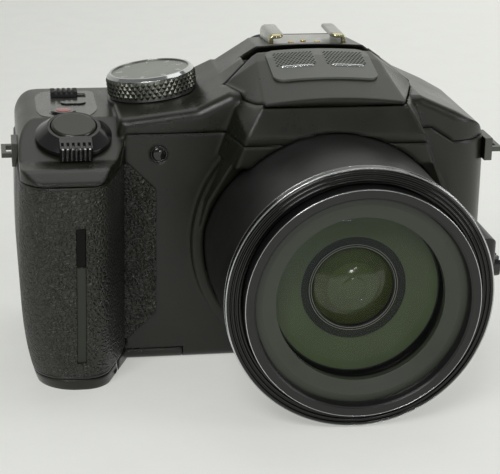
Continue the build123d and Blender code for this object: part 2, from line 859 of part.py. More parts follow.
# Hot shoe, its contacts, and the eyepiece
shoe_plate = 1.6
shoe_lip_under = 2.1
shoe_lip = 1.2
shoe_slot_half = 9.3
shoe_mouth_half = 6.3
contact_radius = 0.8
contact_height = 0.25
contact_spots = ((0, 33.0), (-3.6, 28.4), (3.6, 28.4), (-3.6, 31.4), (3.6, 31.4))
eyecup_size = (30.5, 18.0)
eyecup_round = 6.0
eyecup_depth = 5.1
eyecup_mouth = (22.0, 13.0)
eyecup_mouth_round = 5.0
eyepiece_gap = 0.3
eyepiece_thick = 2.2
eyepiece_back = 36.0

with BuildPart() as hot_shoe:
    shoe_top = shoe_seat + shoe_plate + shoe_lip_under + shoe_lip
    add(block((-shoe_half, shoe_half), shoe_back, (shoe_seat, shoe_top)))
    slot = (shoe_seat + shoe_plate, shoe_top - shoe_lip)
    add(block((-shoe_slot_half, shoe_slot_half), (shoe_back[0] + wall, far), slot), mode=Mode.SUBTRACT)
    mouth = (shoe_seat + shoe_plate, far)
    add(block((-shoe_mouth_half, shoe_mouth_half), (0, far), mouth), mode=Mode.SUBTRACT)
hot_shoe.part.label = "hot_shoe"

with BuildPart() as shoe_contacts:
    with BuildSketch(plan(shoe_seat + shoe_plate)):
        with Locations(*contact_spots):
            Circle(contact_radius)
    extrude(amount=contact_height)
shoe_contacts.part.label = "shoe_contacts"

with BuildPart() as eyecup:
    rear_skin = body_depth
    with BuildSketch(rear_plane((0, eye_up), rear_skin)):
        RectangleRounded(*eyecup_size, radius=eyecup_round)
    extrude(amount=eyecup_depth)
    fillet(eyecup.faces().sort_by(Axis.Y)[-1].edges(), radius=eyecup_depth / 3)
    with BuildSketch(rear_plane((0, eye_up), rear_skin)):
        RectangleRounded(*eye_window, radius=eye_window[1] / 4)
    with BuildSketch(rear_plane((0, eye_up), rear_skin + eyecup_depth)):
        RectangleRounded(*eyecup_mouth, radius=eyecup_mouth_round)
    loft(mode=Mode.SUBTRACT)
eyecup.part.label = "eyecup"

with BuildPart() as eyepiece_lens:
    with BuildSketch(rear_plane((0, eye_up), eyepiece_back)):
        RectangleRounded(
            eye_window[0] - eyepiece_gap, eye_window[1] - eyepiece_gap, radius=eye_window[1] / 4
        )
    extrude(amount=eyepiece_thick)
eyepiece_lens.part.label = "eyepiece_lens"

with BuildPart() as af_lamp:
    with BuildSketch(face_on(wall)):
        with Locations(lamp_spot):
            Circle(lamp_radius)
    extrude(amount=wall)
af_lamp.part.label = "af_lamp"

# Strap lugs, a bent strip on a foot at each end of the top
lug_foot = (1.0, 9.0, 6.0)
lug_reach = 3.6
lug_bar = 1.2
lug_slot = 5.6

with BuildPart() as strap_lugs:
    for turn, back, up in lug_spots:
        start = slab_right if turn > 0 else -grip_levels[3][1]
        foot = sorted((turn * (start - lug_foot[0]), turn * (start + lug_foot[0])))
        loop = sorted((turn * start, turn * (start + lug_reach)))
        gap = sorted((turn * (start + lug_foot[0]), turn * (start + lug_reach - lug_bar)))
        rise = (up - lug_foot[2] / 2, up + lug_foot[2] / 2)
        thin = (up - lug_bar / 2, up + lug_bar / 2)
        add(block(foot, (back - lug_foot[1] / 2, back + lug_foot[1] / 2), rise))
        add(block(loop, (back - lug_foot[1] / 2, back + lug_foot[1] / 2), thin))
        add(block(gap, (back - lug_slot / 2, back + lug_slot / 2), rise), mode=Mode.SUBTRACT)
    add(casing.part, mode=Mode.SUBTRACT)
strap_lugs.part.label = "strap_lugs"

# Lens: the fixed barrel, with straight guide grooves down its bore
barrel_front = 45.2
barrel_rear = -6.2
barrel_bore = 29.7
barrel_wall_rear = 1.6
barrel_window = 16.0
guide_depth = 0.7
guide_width = 2.6
guide_turns = (20.0, 140.0, 260.0)
ring_front = 47.6
ring_radius = 32.4
ring_bore = 28.75
cam_outer = 29.4
cam_inner = 28.7
cam_span = (-4.4, 41.0)
cam_pitch = 72.0
zoom_outer = 28.5
zoom_inner = 27.7
zoom_span = (-2.0, 44.6)
zoom_travel = 20.0
follower_at = 2.0
follower_radius = 1.1
follower_reach = 30.1
front_outer = 27.5
front_inner = 26.6
front_span = (0.5, 51.2)
front_lip_from = 46.2
front_lip_radius = 28.35
filter_bore = 26.0
filter_depth = 2.6
name_outer = 25.6
name_inner = 20.4
name_front = 48.5
name_rear = 45.6
lens_seat = 41.6
lens_front = 45.2
lens_rim = 21.6
second_front = 38.6
second_ring = 11.0
second_rim = 10.1
second_seat = 35.4
second_bore = 9.2
second_edge = 37.4
second_crown = 39.8
cell_radius = 12.6
cell_span = (17.0, 25.0)
cell_bore = 10.4
cell_glass = 3.0
cell_ear_thick = 2.0
rod_radius = 0.8
rod_reach = 14.8
rod_front = 27.4
rod_turns = (90.0, 270.0)
iris_span = (-4.0, -1.6)
iris_radius = 25.0
iris_hole = 7.0
pod_reach = 37.4
pod_back = (-33.0, -7.0)
pod_up = (24.6, 42.0)
pod_round = 2.4
side_lever_back = -24.0
side_lever_size = (13.0, 5.0)
side_lever_proud = 1.6
side_lever_pin = 1.6
side_lever_sink = 3.0
focus_button_spot = (-12.0, 37.6)
focus_button_radius = 2.1
focus_switch_spot = (-12.0, 29.6)
focus_switch_size = (3.4, 3.0)
focus_switch_travel = 3.0

with BuildPart() as lens_barrel:
    with BuildSketch(optic(-barrel_front)):
        Circle(barrel_radius)
    extrude(amount=-(barrel_front - barrel_rear))
    add(block((0, pod_reach), pod_back, pod_up))
    pod_edges = lens_barrel.faces().sort_by(Axis.X)[-1].edges()
    fillet(pod_edges, radius=pod_round)
    add(disc(optic(-barrel_rear - barrel_wall_rear), barrel_bore, far), mode=Mode.SUBTRACT)
    add(disc(optic(body_depth), barrel_window, far), mode=Mode.SUBTRACT)
    for turn in guide_turns:
        with BuildSketch(turned(optic(follower_at + 2 * follower_radius), turn)):
            with Locations((barrel_bore - guide_width / 2 + guide_depth, 0)):
                Rectangle(guide_width, guide_width)
        extrude(amount=zoom_travel + 6 * follower_radius + follower_at, mode=Mode.SUBTRACT)
    pin_room = Plane(origin=place(0, 0, 0), x_dir=(0, 1, 0), z_dir=(1, 0, 0))
    with BuildSketch(pin_room.offset(pod_reach - side_lever_sink - running_gap)):
        with Locations((side_lever_back, sum(pod_up) / 2)):
            Circle(side_lever_pin + running_fit)
        with Locations(focus_button_spot):
            Circle(focus_button_radius + key_hole_gap)
        with Locations(focus_switch_spot):
            Rectangle(
                focus_switch_size[0] / 2 + 2 * key_hole_gap,
                focus_switch_size[1] / 2 + focus_switch_travel + 2 * key_hole_gap,
            )
    extrude(amount=far, mode=Mode.SUBTRACT)
lens_barrel.part.label = "lens_barrel"


with BuildPart() as barrel_ring:
    profile = ring_profile(
        (barrel_front, ring_bore), (barrel_front, ring_radius), (ring_front - seam, ring_radius),
        (ring_front, ring_radius - seam), (ring_front, ring_bore),
    )
    revolve(profile, axis=optical_axis)
barrel_ring.part.label = "barrel_ring"

# Lens: the cam barrel turns and its helical slots drive the zoom barrel's followers
slot_radius = follower_radius + running_gap
slot_margin = follower_radius
slot_lead = Helix(cam_pitch, zoom_travel + 2 * slot_margin, (cam_inner + cam_outer) / 2)

with BuildPart() as cam_barrel:
    profile = ring_profile(
        (cam_span[0], cam_inner), (cam_span[0], cam_outer), (cam_span[1], cam_outer),
        (cam_span[1], cam_inner),
    )
    revolve(profile, axis=optical_axis)
    for turn in guide_turns:
        lead_in = slot_margin / cam_pitch * 360
        start = turned(optic(slot_margin - follower_at), turn - lead_in)
        lead = start.location * slot_lead
        with BuildSketch(Plane(origin=lead @ 0, z_dir=lead % 0)):
            Circle(slot_radius)
        sweep(path=lead, is_frenet=True, mode=Mode.SUBTRACT)
cam_barrel.part.label = "cam_barrel"

with BuildPart() as zoom_barrel:
    profile = ring_profile(
        (zoom_span[0], zoom_inner), (zoom_span[0], zoom_outer), (zoom_span[1], zoom_outer),
        (zoom_span[1], zoom_inner),
    )
    revolve(profile, axis=optical_axis)
    for turn in guide_turns:
        pin_plane = Plane(
            origin=place(0, -follower_at, lens_z), x_dir=(0, 1, 0),
            z_dir=(cos(radians(turn)), 0, sin(radians(turn))),
        )
        add(disc(pin_plane.offset((zoom_inner + zoom_outer) / 2), follower_radius,
                 follower_reach - (zoom_inner + zoom_outer) / 2))
zoom_barrel.part.label = "zoom_barrel"

with BuildPart() as front_barrel:
    profile = ring_profile(
        (front_span[0], front_inner), (front_span[0], front_outer), (front_lip_from, front_outer),
        (front_lip_from, front_lip_radius), (front_span[1] - seam, front_lip_radius),
        (front_span[1], front_lip_radius - seam), (front_span[1], filter_bore + seam),
        (front_span[1] - seam, filter_bore), (front_span[1] - filter_depth, filter_bore),
        (front_span[1] - filter_depth, name_outer + running_fit), (name_rear, name_outer + running_fit),
        (name_rear, lens_rim), (lens_seat, lens_rim), (lens_seat, name_inner),
        (second_front - seam, second_ring + seam), (second_front - seam, second_ring),
        (second_front, second_ring), (second_front, second_rim), (second_seat, second_rim),
        (second_seat, second_bore), (second_seat - wall, second_bore),
        (second_seat - wall, second_rim + wall), (lens_seat - 2 * wall, name_inner + wall),
        (lens_seat - 2 * wall, front_inner),
    )
    revolve(profile, axis=optical_axis)
front_barrel.part.label = "front_barrel"

with BuildPart() as name_ring:
    profile = ring_profile(
        (name_rear + running_fit, name_inner), (name_rear + running_fit, name_outer),
        (name_front, name_outer), (name_front, name_outer - wall), (name_rear + wall, name_inner),
    )
    revolve(profile, axis=optical_axis)
name_ring.part.label = "name_ring"

with BuildPart() as front_lens:
    rim = lens_rim - running_fit
    rear = lens_seat + running_fit
    shoulder = lens_seat + (lens_front - lens_seat) / 3
    with BuildSketch(lens_section):
        with BuildLine():
            Polyline((lens_front, 0), (rear, 0), (rear, rim), (shoulder, rim))
            TangentArc((lens_front, 0), (shoulder, rim), tangent=(0, 1))
        make_face()
    revolve(axis=optical_axis)
    rim = second_rim - running_fit
    rear = second_seat + running_fit
    with BuildSketch(lens_section):
        with BuildLine():
            Polyline((second_crown, 0), (rear, 0), (rear, rim), (second_edge, rim))
            TangentArc((second_crown, 0), (second_edge, rim), tangent=(0, 1))
        make_face()
    revolve(axis=optical_axis)
front_lens.part.label = "front_lens"

with BuildPart() as variator_cell:
    profile = ring_profile(
        (cell_span[0], cell_bore), (cell_span[0], cell_radius), (cell_span[1] - wall, cell_radius),
        (cell_span[1], cell_bore + wall / 2), (cell_span[1], cell_bore - wall / 2),
        (cell_span[1] - wall, cell_bore - wall / 2), (cell_span[1] - wall, cell_bore),
    )
    revolve(profile, axis=optical_axis)
    for turn in rod_turns:
        with BuildSketch(turned(optic(-cell_span[0]), turn)):
            with Locations(((rod_reach + cell_radius) / 2, 0)):
                Rectangle(rod_reach - cell_radius + 2 * wall, 4 * rod_radius)
            with Locations((rod_reach, 0)):
                Circle(rod_radius + running_fit, mode=Mode.SUBTRACT)
        extrude(amount=cell_ear_thick)
    add(disc(optic(far / 2), cell_bore - wall, far), mode=Mode.SUBTRACT)
variator_cell.part.label = "variator_cell"

with BuildPart() as variator_lens:
    glass_front = cell_span[1] - wall - running_fit
    profile = ring_profile(
        (glass_front, 0), (glass_front, cell_bore - running_fit),
        (glass_front - cell_glass, cell_bore - running_fit), (glass_front - cell_glass, 0),
    )
    revolve(profile, axis=optical_axis)
variator_lens.part.label = "variator_lens"

with BuildPart() as iris_unit:
    profile = ring_profile(
        (iris_span[0], iris_hole), (iris_span[0], iris_radius), (iris_span[1], iris_radius),
        (iris_span[1], iris_hole),
    )
    revolve(profile, axis=optical_axis)
    for turn in rod_turns:
        with BuildSketch(turned(optic(-iris_span[1]), turn)):
            with Locations((rod_reach, 0)):
                Circle(rod_radius)
        extrude(amount=rod_front - iris_span[1])
iris_unit.part.label = "iris_unit"

# Zoom motor, beside the barrel's foot, bolted to the chassis
motor_spot = (-38.0, 14.0)
motor_radius = 4.0
motor_span = (2.2, 6.9)
gearbox_size = (9.0, 11.0, 3.2)

with BuildPart() as zoom_motor:
    with BuildSketch(Plane(origin=place(*motor_spot[:1], chassis_back + chassis_sheet + seam, motor_spot[1]),
                           x_dir=(-1, 0, 0), z_dir=(0, 1, 0))):
        Rectangle(gearbox_size[0], gearbox_size[1])
    extrude(amount=gearbox_size[2])
    with BuildSketch(Plane(origin=place(motor_spot[0], chassis_back + chassis_sheet + seam + gearbox_size[2], motor_spot[1]),
                           x_dir=(-1, 0, 0), z_dir=(0, 1, 0))):
        Circle(motor_radius)
    extrude(amount=motor_span[1] + motor_span[0])
zoom_motor.part.label = "zoom_motor"

# Mode dial
dial_groove = 0.5
dial_rim = 0.7
dial_dish = 0.25

with BuildPart() as mode_dial:
    with BuildSketch(dial_frame):
        Circle(dial_radius)
    extrude(amount=dial_height)
    top = mode_dial.faces().sort_by_distance(dial_frame.from_local_coords((0, 0, dial_height)))[0]
    chamfer(top.edges(), length=dial_rim)
    with BuildSketch(dial_frame.offset(dial_height - dial_dish)):
        Circle(dial_radius - 2 * dial_rim)
    extrude(amount=dial_height, mode=Mode.SUBTRACT)
    with BuildSketch(dial_frame.offset(-dial_stem_reach)):
        Circle(dial_stem_radius)
    extrude(amount=dial_stem_reach)
mode_dial.part.label = "mode_dial"

# Zoom lever round the shutter button
lever_base = 9.6
lever_skirt = 0.9
lever_crown = 6.7
lever_height = 3.3
lever_bore = 5.9
lever_floor = 0.9
nub_reach = 11.9
nub_width = 8.0
nub_height = 4.2
nub_ribs = 6
shutter_radius = 5.65
shutter_under = 2.3
shutter_top = 3.9
shutter_stem = 2.4
shutter_stem_gap = 0.3
shutter_travel = 1.2

with BuildPart() as zoom_lever:
    lever_section = Plane(origin=lever_frame.origin, x_dir=lever_frame.x_dir, z_dir=-lever_frame.y_dir)
    with BuildSketch(lever_section):
        with BuildLine():
            Polyline(
                (shutter_stem + shutter_stem_gap, -lever_hub_reach), (lever_hub_radius, -lever_hub_reach),
                (lever_hub_radius, 0), (lever_base, 0), (lever_base, lever_skirt),
                (lever_crown, lever_height), (lever_bore, lever_height), (lever_bore, lever_floor),
                (shutter_stem + shutter_stem_gap, lever_floor), close=True,
            )
        make_face()
    revolve(axis=Axis(lever_frame.origin, lever_frame.z_dir))
    nub_root = (lever_bore + lever_crown) / 2
    with BuildSketch(lever_frame.offset(lever_skirt / 2)):
        with Locations((0, -(nub_root + nub_reach) / 2)):
            Rectangle(nub_width, nub_reach - nub_root)
    extrude(amount=nub_height - lever_skirt / 2)
    rib_pitch = nub_width / (2 * nub_ribs)
    with BuildSketch(lever_frame.offset(nub_height - dial_groove)):
        with Locations((0, -nub_reach + wall / 2)):
            with GridLocations(2 * rib_pitch, 0, nub_ribs, 1):
                Rectangle(rib_pitch, 2 * wall)
    extrude(amount=nub_height, mode=Mode.SUBTRACT)
zoom_lever.part.label = "zoom_lever"

with BuildPart() as shutter_button:
    with BuildSketch(lever_frame.offset(shutter_under)):
        Circle(shutter_radius)
    extrude(amount=shutter_top - shutter_under)
    rim = shutter_button.faces().sort_by_distance(lever_frame.from_local_coords((0, 0, shutter_top)))[0]
    fillet(rim.edges(), radius=dial_rim)
    with BuildSketch(lever_frame.offset(-lever_hub_reach - 2 * shutter_travel)):
        Circle(shutter_stem)
    extrude(amount=lever_hub_reach + 2 * shutter_travel + shutter_under)
shutter_button.part.label = "shutter_button"


# Press keys: a cap through the wall with a flange behind it that keeps it in
key_flange = 0.8
key_seat = 0.25
key_travel = 0.5


def press_key(plane, radius, proud, depth):
    """A round key on a wall of some depth, with its flange behind the wall."""
    with BuildPart() as key:
        with BuildSketch(plane.offset(-depth - key_seat)):
            Circle(radius)
        extrude(amount=depth + key_seat + proud)
        cap = key.faces().sort_by_distance(plane.from_local_coords((0, 0, proud)))[0]
        chamfer(cap.edges(), length=key_seat)
        with BuildSketch(plane.offset(-depth - key_seat - key_flange)):
            Circle(radius + key_flange)
        extrude(amount=key_flange)
    return key.part


panel_wall = wall + rubber_skin
slab_panel_wall = wall + grip_rear - body_depth

with BuildPart() as record_button:
    record_plane = Plane(origin=place(*record_spot, grip_deck))
    add(press_key(record_plane, record_radius, key_travel + key_seat, panel_wall))
record_button.part.label = "record_button"

with BuildPart() as burst_button:
    with BuildSketch(plan(grip_deck - panel_wall - key_seat)):
        with Locations(burst_spot):
            SlotOverall(*burst_size)
    extrude(amount=panel_wall + 2 * key_seat + key_travel / 2)
    with BuildSketch(plan(grip_deck - panel_wall - key_seat - key_flange)):
        with Locations(burst_spot):
            SlotOverall(burst_size[0] + 2 * key_flange, burst_size[1] + 2 * key_flange)
    extrude(amount=key_flange)
burst_button.part.label = "burst_button"

power_height = 1.6
with BuildPart() as power_switch:
    start_across = power_spot[0] - power_travel / 2
    with BuildSketch(plan(grip_deck + key_hole_gap)):
        with Locations((start_across, power_spot[1])):
            Rectangle(*power_size)
    extrude(amount=power_height)
    with BuildSketch(plan(grip_deck + power_height - dial_groove)):
        with Locations((start_across, power_spot[1])):
            with GridLocations(power_size[0] / 5, 0, 4, 1):
                Rectangle(power_size[0] / 10, 2 * power_size[1])
    extrude(amount=power_height, mode=Mode.SUBTRACT)
    with BuildSketch(plan(grip_deck - panel_wall - key_seat)):
        with Locations((start_across, power_spot[1])):
            Rectangle(*power_stem)
    extrude(amount=panel_wall + key_seat + key_hole_gap)
    with BuildSketch(plan(grip_deck - panel_wall - key_seat - key_flange)):
        with Locations((start_across, power_spot[1])):
            Rectangle(power_stem[0] + 2 * key_flange, power_stem[1] + 2 * key_flange)
    extrude(amount=key_flange)
power_switch.part.label = "power_switch"

with BuildPart() as af_lock_button:
    add(press_key(rear_plane(lock_spot), lock_radius, key_travel + key_seat, slab_panel_wall))
af_lock_button.part.label = "af_lock_button"

with BuildPart() as evf_button:
    add(press_key(rear_plane(evf_spot, body_depth), evf_radius, key_travel + key_seat, wall))
evf_button.part.label = "evf_button"

with BuildPart() as flash_button:
    add(press_key(flank_frame, flash_button_radius, key_travel + key_seat, wall))
flash_button.part.label = "flash_button"

with BuildPart() as menu_button:
    key_foot = grip_rear - panel_wall - key_seat
    key_rise = panel_wall + key_seat + key_travel
    add(disc(rear_plane(key_cluster, key_foot), menu_radius, key_rise))
    add(disc(rear_plane(key_cluster, key_foot - key_flange), menu_radius + key_seat, key_flange))
menu_button.part.label = "menu_button"

with BuildPart() as disp_button:
    add(press_key(rear_plane(disp_spot), small_key_radius, key_travel + key_seat, slab_panel_wall))
disp_button.part.label = "disp_button"

with BuildPart() as quick_button:
    add(press_key(rear_plane(quick_spot), small_key_radius, key_travel + key_seat, panel_wall))
quick_button.part.label = "quick_button"

with BuildPart() as play_button:
    add(press_key(rear_plane(play_spot), small_key_radius, key_travel + key_seat, slab_panel_wall))
play_button.part.label = "play_button"

arrow_keys = []
for name, turn in (("key_up", 90), ("key_down", 270), ("key_left", 0), ("key_right", 180)):
    with BuildPart() as arrow_key:
        for back, outer, rise in (
            (grip_rear - panel_wall - key_seat, key_ring[1], panel_wall + key_seat + key_travel),
            (grip_rear - panel_wall - key_seat - key_flange, key_ring[1] + key_flange, key_flange),
        ):
            with BuildSketch(turned(rear_plane(key_cluster, back), turn)):
                Circle(outer)
                Circle(key_ring[0] + key_seat, mode=Mode.SUBTRACT)
                with BuildLine():
                    reach = outer + overrun
                    Polyline((key_gap, 0), (reach + key_gap, reach), (reach + key_gap, -reach), close=True)
                make_face(mode=Mode.INTERSECT)
            extrude(amount=rise)
    arrow_key.part.label = name
    arrow_keys.append(arrow_key)


# Flash head: the lid, its lamp house and the hinge along its rear
house_half = 12.0
house_back = (-9.0, 4.0)
house_foot = 65.2
house_sweep = 28.6
window_half = 10.4
window_up = (66.2, 70.2)
window_thick = 0.9
grille_half = 13.6
grille_back = (-1.0, 17.0)
grille_proud = 0.6
grille_round = 3.0


def house_disc(radius, half):
    """A round block on the lid's hinge axis, as wide as twice the half width."""
    return disc(lid_axis_plane.offset(-half), radius, 2 * half)


with BuildPart() as lamp_house:
    add(hump_form(wall / 2))
    add(block((-house_half, house_half), house_back, (house_foot, far)), mode=Mode.INTERSECT)
    add(house_disc(house_sweep, house_half), mode=Mode.INTERSECT)

with BuildPart() as flash_window:
    add(house_disc(house_sweep, window_half))
    add(house_disc(house_sweep - window_thick, house_half), mode=Mode.SUBTRACT)
    add(block((-far, far), (-far, house_back[1]), window_up), mode=Mode.INTERSECT)
flash_window.part.label = "flash_window"

with BuildPart() as flash_head:
    add(casing.part)
    add(hollow.part, mode=Mode.SUBTRACT)
    add(lid_region(0.0), mode=Mode.INTERSECT)
    add(lamp_house.part)
    add(house_disc(knuckle_radius, knuckle_half))
    add(house_disc(lid_pin_radius, lug_across[1]))
    add(flash_window.part, mode=Mode.SUBTRACT)
flash_head.part.label = "flash_head"

# Microphone grille on the lid
with BuildPart() as mic_grille:
    add(hump_form(0.0).moved(Location((0, 0, grille_proud))))
    add(hump_form(0.0), mode=Mode.SUBTRACT)
    with BuildSketch(plan(lid_floor)):
        with Locations((0, sum(grille_back) / 2)):
            RectangleRounded(2 * grille_half, grille_back[1] - grille_back[0], radius=grille_round)
    extrude(amount=far, mode=Mode.INTERSECT)
mic_grille.part.label = "mic_grille"

# Thumb rubber on the rear
with BuildPart() as thumb_rubber:
    with BuildSketch(rear_plane((0, 0))):
        with Locations((-sum(thumb_across) / 2, sum(thumb_up) / 2)):
            RectangleRounded(
                thumb_across[1] - thumb_across[0], thumb_up[1] - thumb_up[0], radius=thumb_round
            )
    extrude(amount=thumb_thick)
    fillet(thumb_rubber.faces().sort_by(Axis.Y)[-1].edges(), radius=thumb_thick / 2)
thumb_rubber.part.label = "thumb_rubber"

# Monitor: a frame with the panel let into its back, carried by the hinge
screen_margin = (4.2, 3.2)
screen_depth = 1.2
twist_radius = 2.4
twist_up = (hinge_up[0] + hinge_up[1]) / 2
twist_reach = 6.0
hinge_web = (20.0, 39.0)
hinge_web_thick = 3.4
frame_round = 2.0

with BuildPart() as monitor_screen:
    with BuildSketch(rear_plane((0, 0), monitor_rear - screen_depth)):
        across = (monitor_across[0] + screen_margin[0], monitor_across[1] - screen_margin[0])
        up = (monitor_up[0] + screen_margin[1], monitor_up[1] - screen_margin[1])
        with Locations((-sum(across) / 2, sum(up) / 2)):
            Rectangle(across[1] - across[0], up[1] - up[0])
    extrude(amount=screen_depth - running_gap)
monitor_screen.part.label = "monitor_screen"

with BuildPart() as monitor_frame:
    add(block(monitor_across, (monitor_front, monitor_rear), monitor_up))
    fillet(monitor_frame.edges().filter_by(Axis.Y), radius=frame_round)
    fillet(monitor_frame.faces().sort_by(Axis.Y)[-1].edges(), radius=frame_round / 4)
    recess = rear_plane((0, 0), monitor_rear - screen_depth)
    with BuildSketch(recess):
        with Locations((-sum(across) / 2, sum(up) / 2)):
            Rectangle(
                across[1] - across[0] + 2 * running_gap, up[1] - up[0] + 2 * running_gap
            )
    extrude(amount=far, mode=Mode.SUBTRACT)
    bore = Plane(origin=place(monitor_across[1] - twist_reach, hinge_v, twist_up), z_dir=(1, 0, 0))
    add(disc(bore, twist_radius + running_fit, far), mode=Mode.SUBTRACT)
monitor_frame.part.label = "monitor_frame"

with BuildPart() as monitor_hinge:
    add(disc(hinge_plane(hinge_up[0]), hinge_radius, hinge_up[1] - hinge_up[0]))
    reach = 2 * hinge_pin_reach + hinge_up[1] - hinge_up[0]
    add(disc(hinge_plane(hinge_up[0] - hinge_pin_reach), hinge_pin_radius, reach))
    web_back = (hinge_v - hinge_web_thick / 2, hinge_v + hinge_web_thick / 2)
    add(block((monitor_across[1] + seam, hinge_u), web_back, hinge_web))
    shaft = Plane(
        origin=place(monitor_across[1] - twist_reach + seam, hinge_v, twist_up), z_dir=(1, 0, 0)
    )
    add(disc(shaft, twist_radius, hinge_u - monitor_across[1] + twist_reach))
monitor_hinge.part.label = "monitor_hinge"

# Wheels on the rear: the command dial and the eyepiece adjustment
wheel_flutes = 24
flute_radius = 0.35

with BuildPart() as rear_dial:
    with BuildSketch(rear_dial_plane):
        Circle(rear_dial_radius)
        with PolarLocations(rear_dial_radius, wheel_flutes):
            Circle(flute_radius, mode=Mode.SUBTRACT)
    extrude(amount=rear_dial_width)
    with BuildSketch(rear_dial_plane.offset(-wheel_axle)):
        Circle(wheel_axle)
    extrude(amount=rear_dial_width + 2 * wheel_axle)
rear_dial.part.label = "rear_dial"

with BuildPart() as diopter_dial:
    with BuildSketch(diopter_plane):
        Circle(diopter_radius)
        with PolarLocations(diopter_radius, wheel_flutes):
            Circle(flute_radius, mode=Mode.SUBTRACT)
    extrude(amount=diopter_width)
    with BuildSketch(diopter_plane.offset(-wheel_axle)):
        Circle(wheel_axle)
    extrude(amount=diopter_width + 2 * wheel_axle)
diopter_dial.part.label = "diopter_dial"

# Battery door with its latch, in the bottom
latch_size = (9.0, 5.0)
latch_travel = 3.0
latch_spot = (door_across[0] + 7.0, 6.5)
latch_gap = 0.3
latch_floor = 0.5

with BuildPart() as battery_door:
    door_up = (running_gap, door_thick)
    add(block(door_across, door_back, door_up))
    fillet(battery_door.edges().filter_by(Axis.Y).group_by(Axis.X)[-1], radius=door_round)
    add(door_pin(0))
    slot_across = (
        latch_spot[0] - latch_size[0] / 2 - latch_gap,
        latch_spot[0] + latch_size[0] / 2 + latch_travel + latch_gap,
    )
    slot_back = (latch_spot[1] - latch_size[1] / 2 - latch_gap, latch_spot[1] + latch_size[1] / 2 + latch_gap)
    add(block(slot_across, slot_back, (-overrun, door_thick - latch_floor)), mode=Mode.SUBTRACT)
battery_door.part.label = "battery_door"

with BuildPart() as battery_latch:
    add(block(
        (latch_spot[0] - latch_size[0] / 2, latch_spot[0] + latch_size[0] / 2),
        (latch_spot[1] - latch_size[1] / 2, latch_spot[1] + latch_size[1] / 2),
        (running_gap, door_thick - latch_floor - running_gap),
    ))
    with BuildSketch(plan(running_gap)):
        with Locations(latch_spot):
            with GridLocations(wall, 0, 3, 1):
                Rectangle(wall / 3, latch_size[1] - wall)
    extrude(amount=latch_floor / 2, mode=Mode.SUBTRACT)
battery_latch.part.label = "battery_latch"

# Terminal door in the end of the casing
with BuildPart() as terminal_door:
    add(block((slab_right - terminal_thick, slab_right), terminal_back, terminal_up))
    fillet(terminal_door.edges().filter_by(Axis.Z).group_by(Axis.Y)[0], radius=door_round)
    add(terminal_pin(0))
    lip = (terminal_back[1] - 3 * wall, terminal_back[1] - wall)
    middle = sum(terminal_up) / 2
    add(block((slab_right, slab_right + seam), lip, (middle - 3 * wall, middle + 3 * wall)))
terminal_door.part.label = "terminal_door"

# Controls on the barrel's side pod
pod_middle = sum(pod_up) / 2


def pod_plane(back, up, lift=0.0):
    """An upright plane on the side of the barrel's pod, with its normal to +X."""
    return Plane(origin=place(pod_reach + lift, back, up), x_dir=(0, 1, 0), z_dir=(1, 0, 0))


with BuildPart() as side_lever:
    with BuildSketch(pod_plane(side_lever_back, pod_middle, running_gap)):
        RectangleRounded(*side_lever_size, radius=wall)
    extrude(amount=side_lever_proud)
    with BuildSketch(pod_plane(side_lever_back, pod_middle, running_gap + side_lever_proud - dial_groove)):
        with GridLocations(side_lever_size[0] / 6, 0, 6, 1):
            Rectangle(side_lever_size[0] / 12, side_lever_size[1])
    extrude(amount=side_lever_proud, mode=Mode.SUBTRACT)
    with BuildSketch(pod_plane(side_lever_back, pod_middle, -side_lever_sink)):
        Circle(side_lever_pin)
    extrude(amount=side_lever_sink + running_gap)
side_lever.part.label = "side_lever"

with BuildPart() as focus_button:
    with BuildSketch(pod_plane(*focus_button_spot, -key_travel - key_flange)):
        Circle(focus_button_radius)
    extrude(amount=key_flange + 2 * key_travel)
focus_button.part.label = "focus_button"

with BuildPart() as focus_switch:
    start_up = focus_switch_spot[1] - focus_switch_travel / 2
    with BuildSketch(pod_plane(focus_switch_spot[0], start_up, running_gap)):
        Rectangle(*focus_switch_size)
    extrude(amount=side_lever_proud / 2)
    with BuildSketch(pod_plane(focus_switch_spot[0], start_up, -key_flange)):
        Rectangle(focus_switch_size[0] / 2, focus_switch_size[1] / 2)
    extrude(amount=key_flange + running_gap)
focus_switch.part.label = "focus_switch"

finished = [
    front_cover, rear_cover, top_cover, bottom_cover, grip_rubber, thumb_rubber, chassis, tripod_bush,
    hot_shoe, shoe_contacts, af_lamp, strap_lugs, eyecup, eyepiece_lens, main_board, sensor_unit,
    battery, casing_screws, lens_barrel, barrel_ring, zoom_motor, iris_unit, cam_barrel, zoom_barrel,
    front_barrel, name_ring, front_lens, variator_cell, variator_lens, mode_dial, zoom_lever,
    shutter_button, record_button, burst_button, power_switch, flash_head, flash_window, mic_grille,
    flash_button, monitor_hinge, monitor_frame, monitor_screen, diopter_dial, rear_dial,
    af_lock_button, evf_button, *arrow_keys, menu_button, disp_button, quick_button, play_button,
    battery_door, battery_latch, terminal_door, side_lever, focus_button, focus_switch,
]
for piece in finished:
    export_step(piece.part, f"parts/{piece.part.label}.step")
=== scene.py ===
"""Looks of a bridge camera: finishes for every solid, and the small parts that the solids leave out."""

from __future__ import annotations

import json
import logging
from dataclasses import dataclass
from enum import Enum
from math import atan2, cos, pi, radians, sin

import bmesh
import bpy
from mathutils import Matrix, Vector

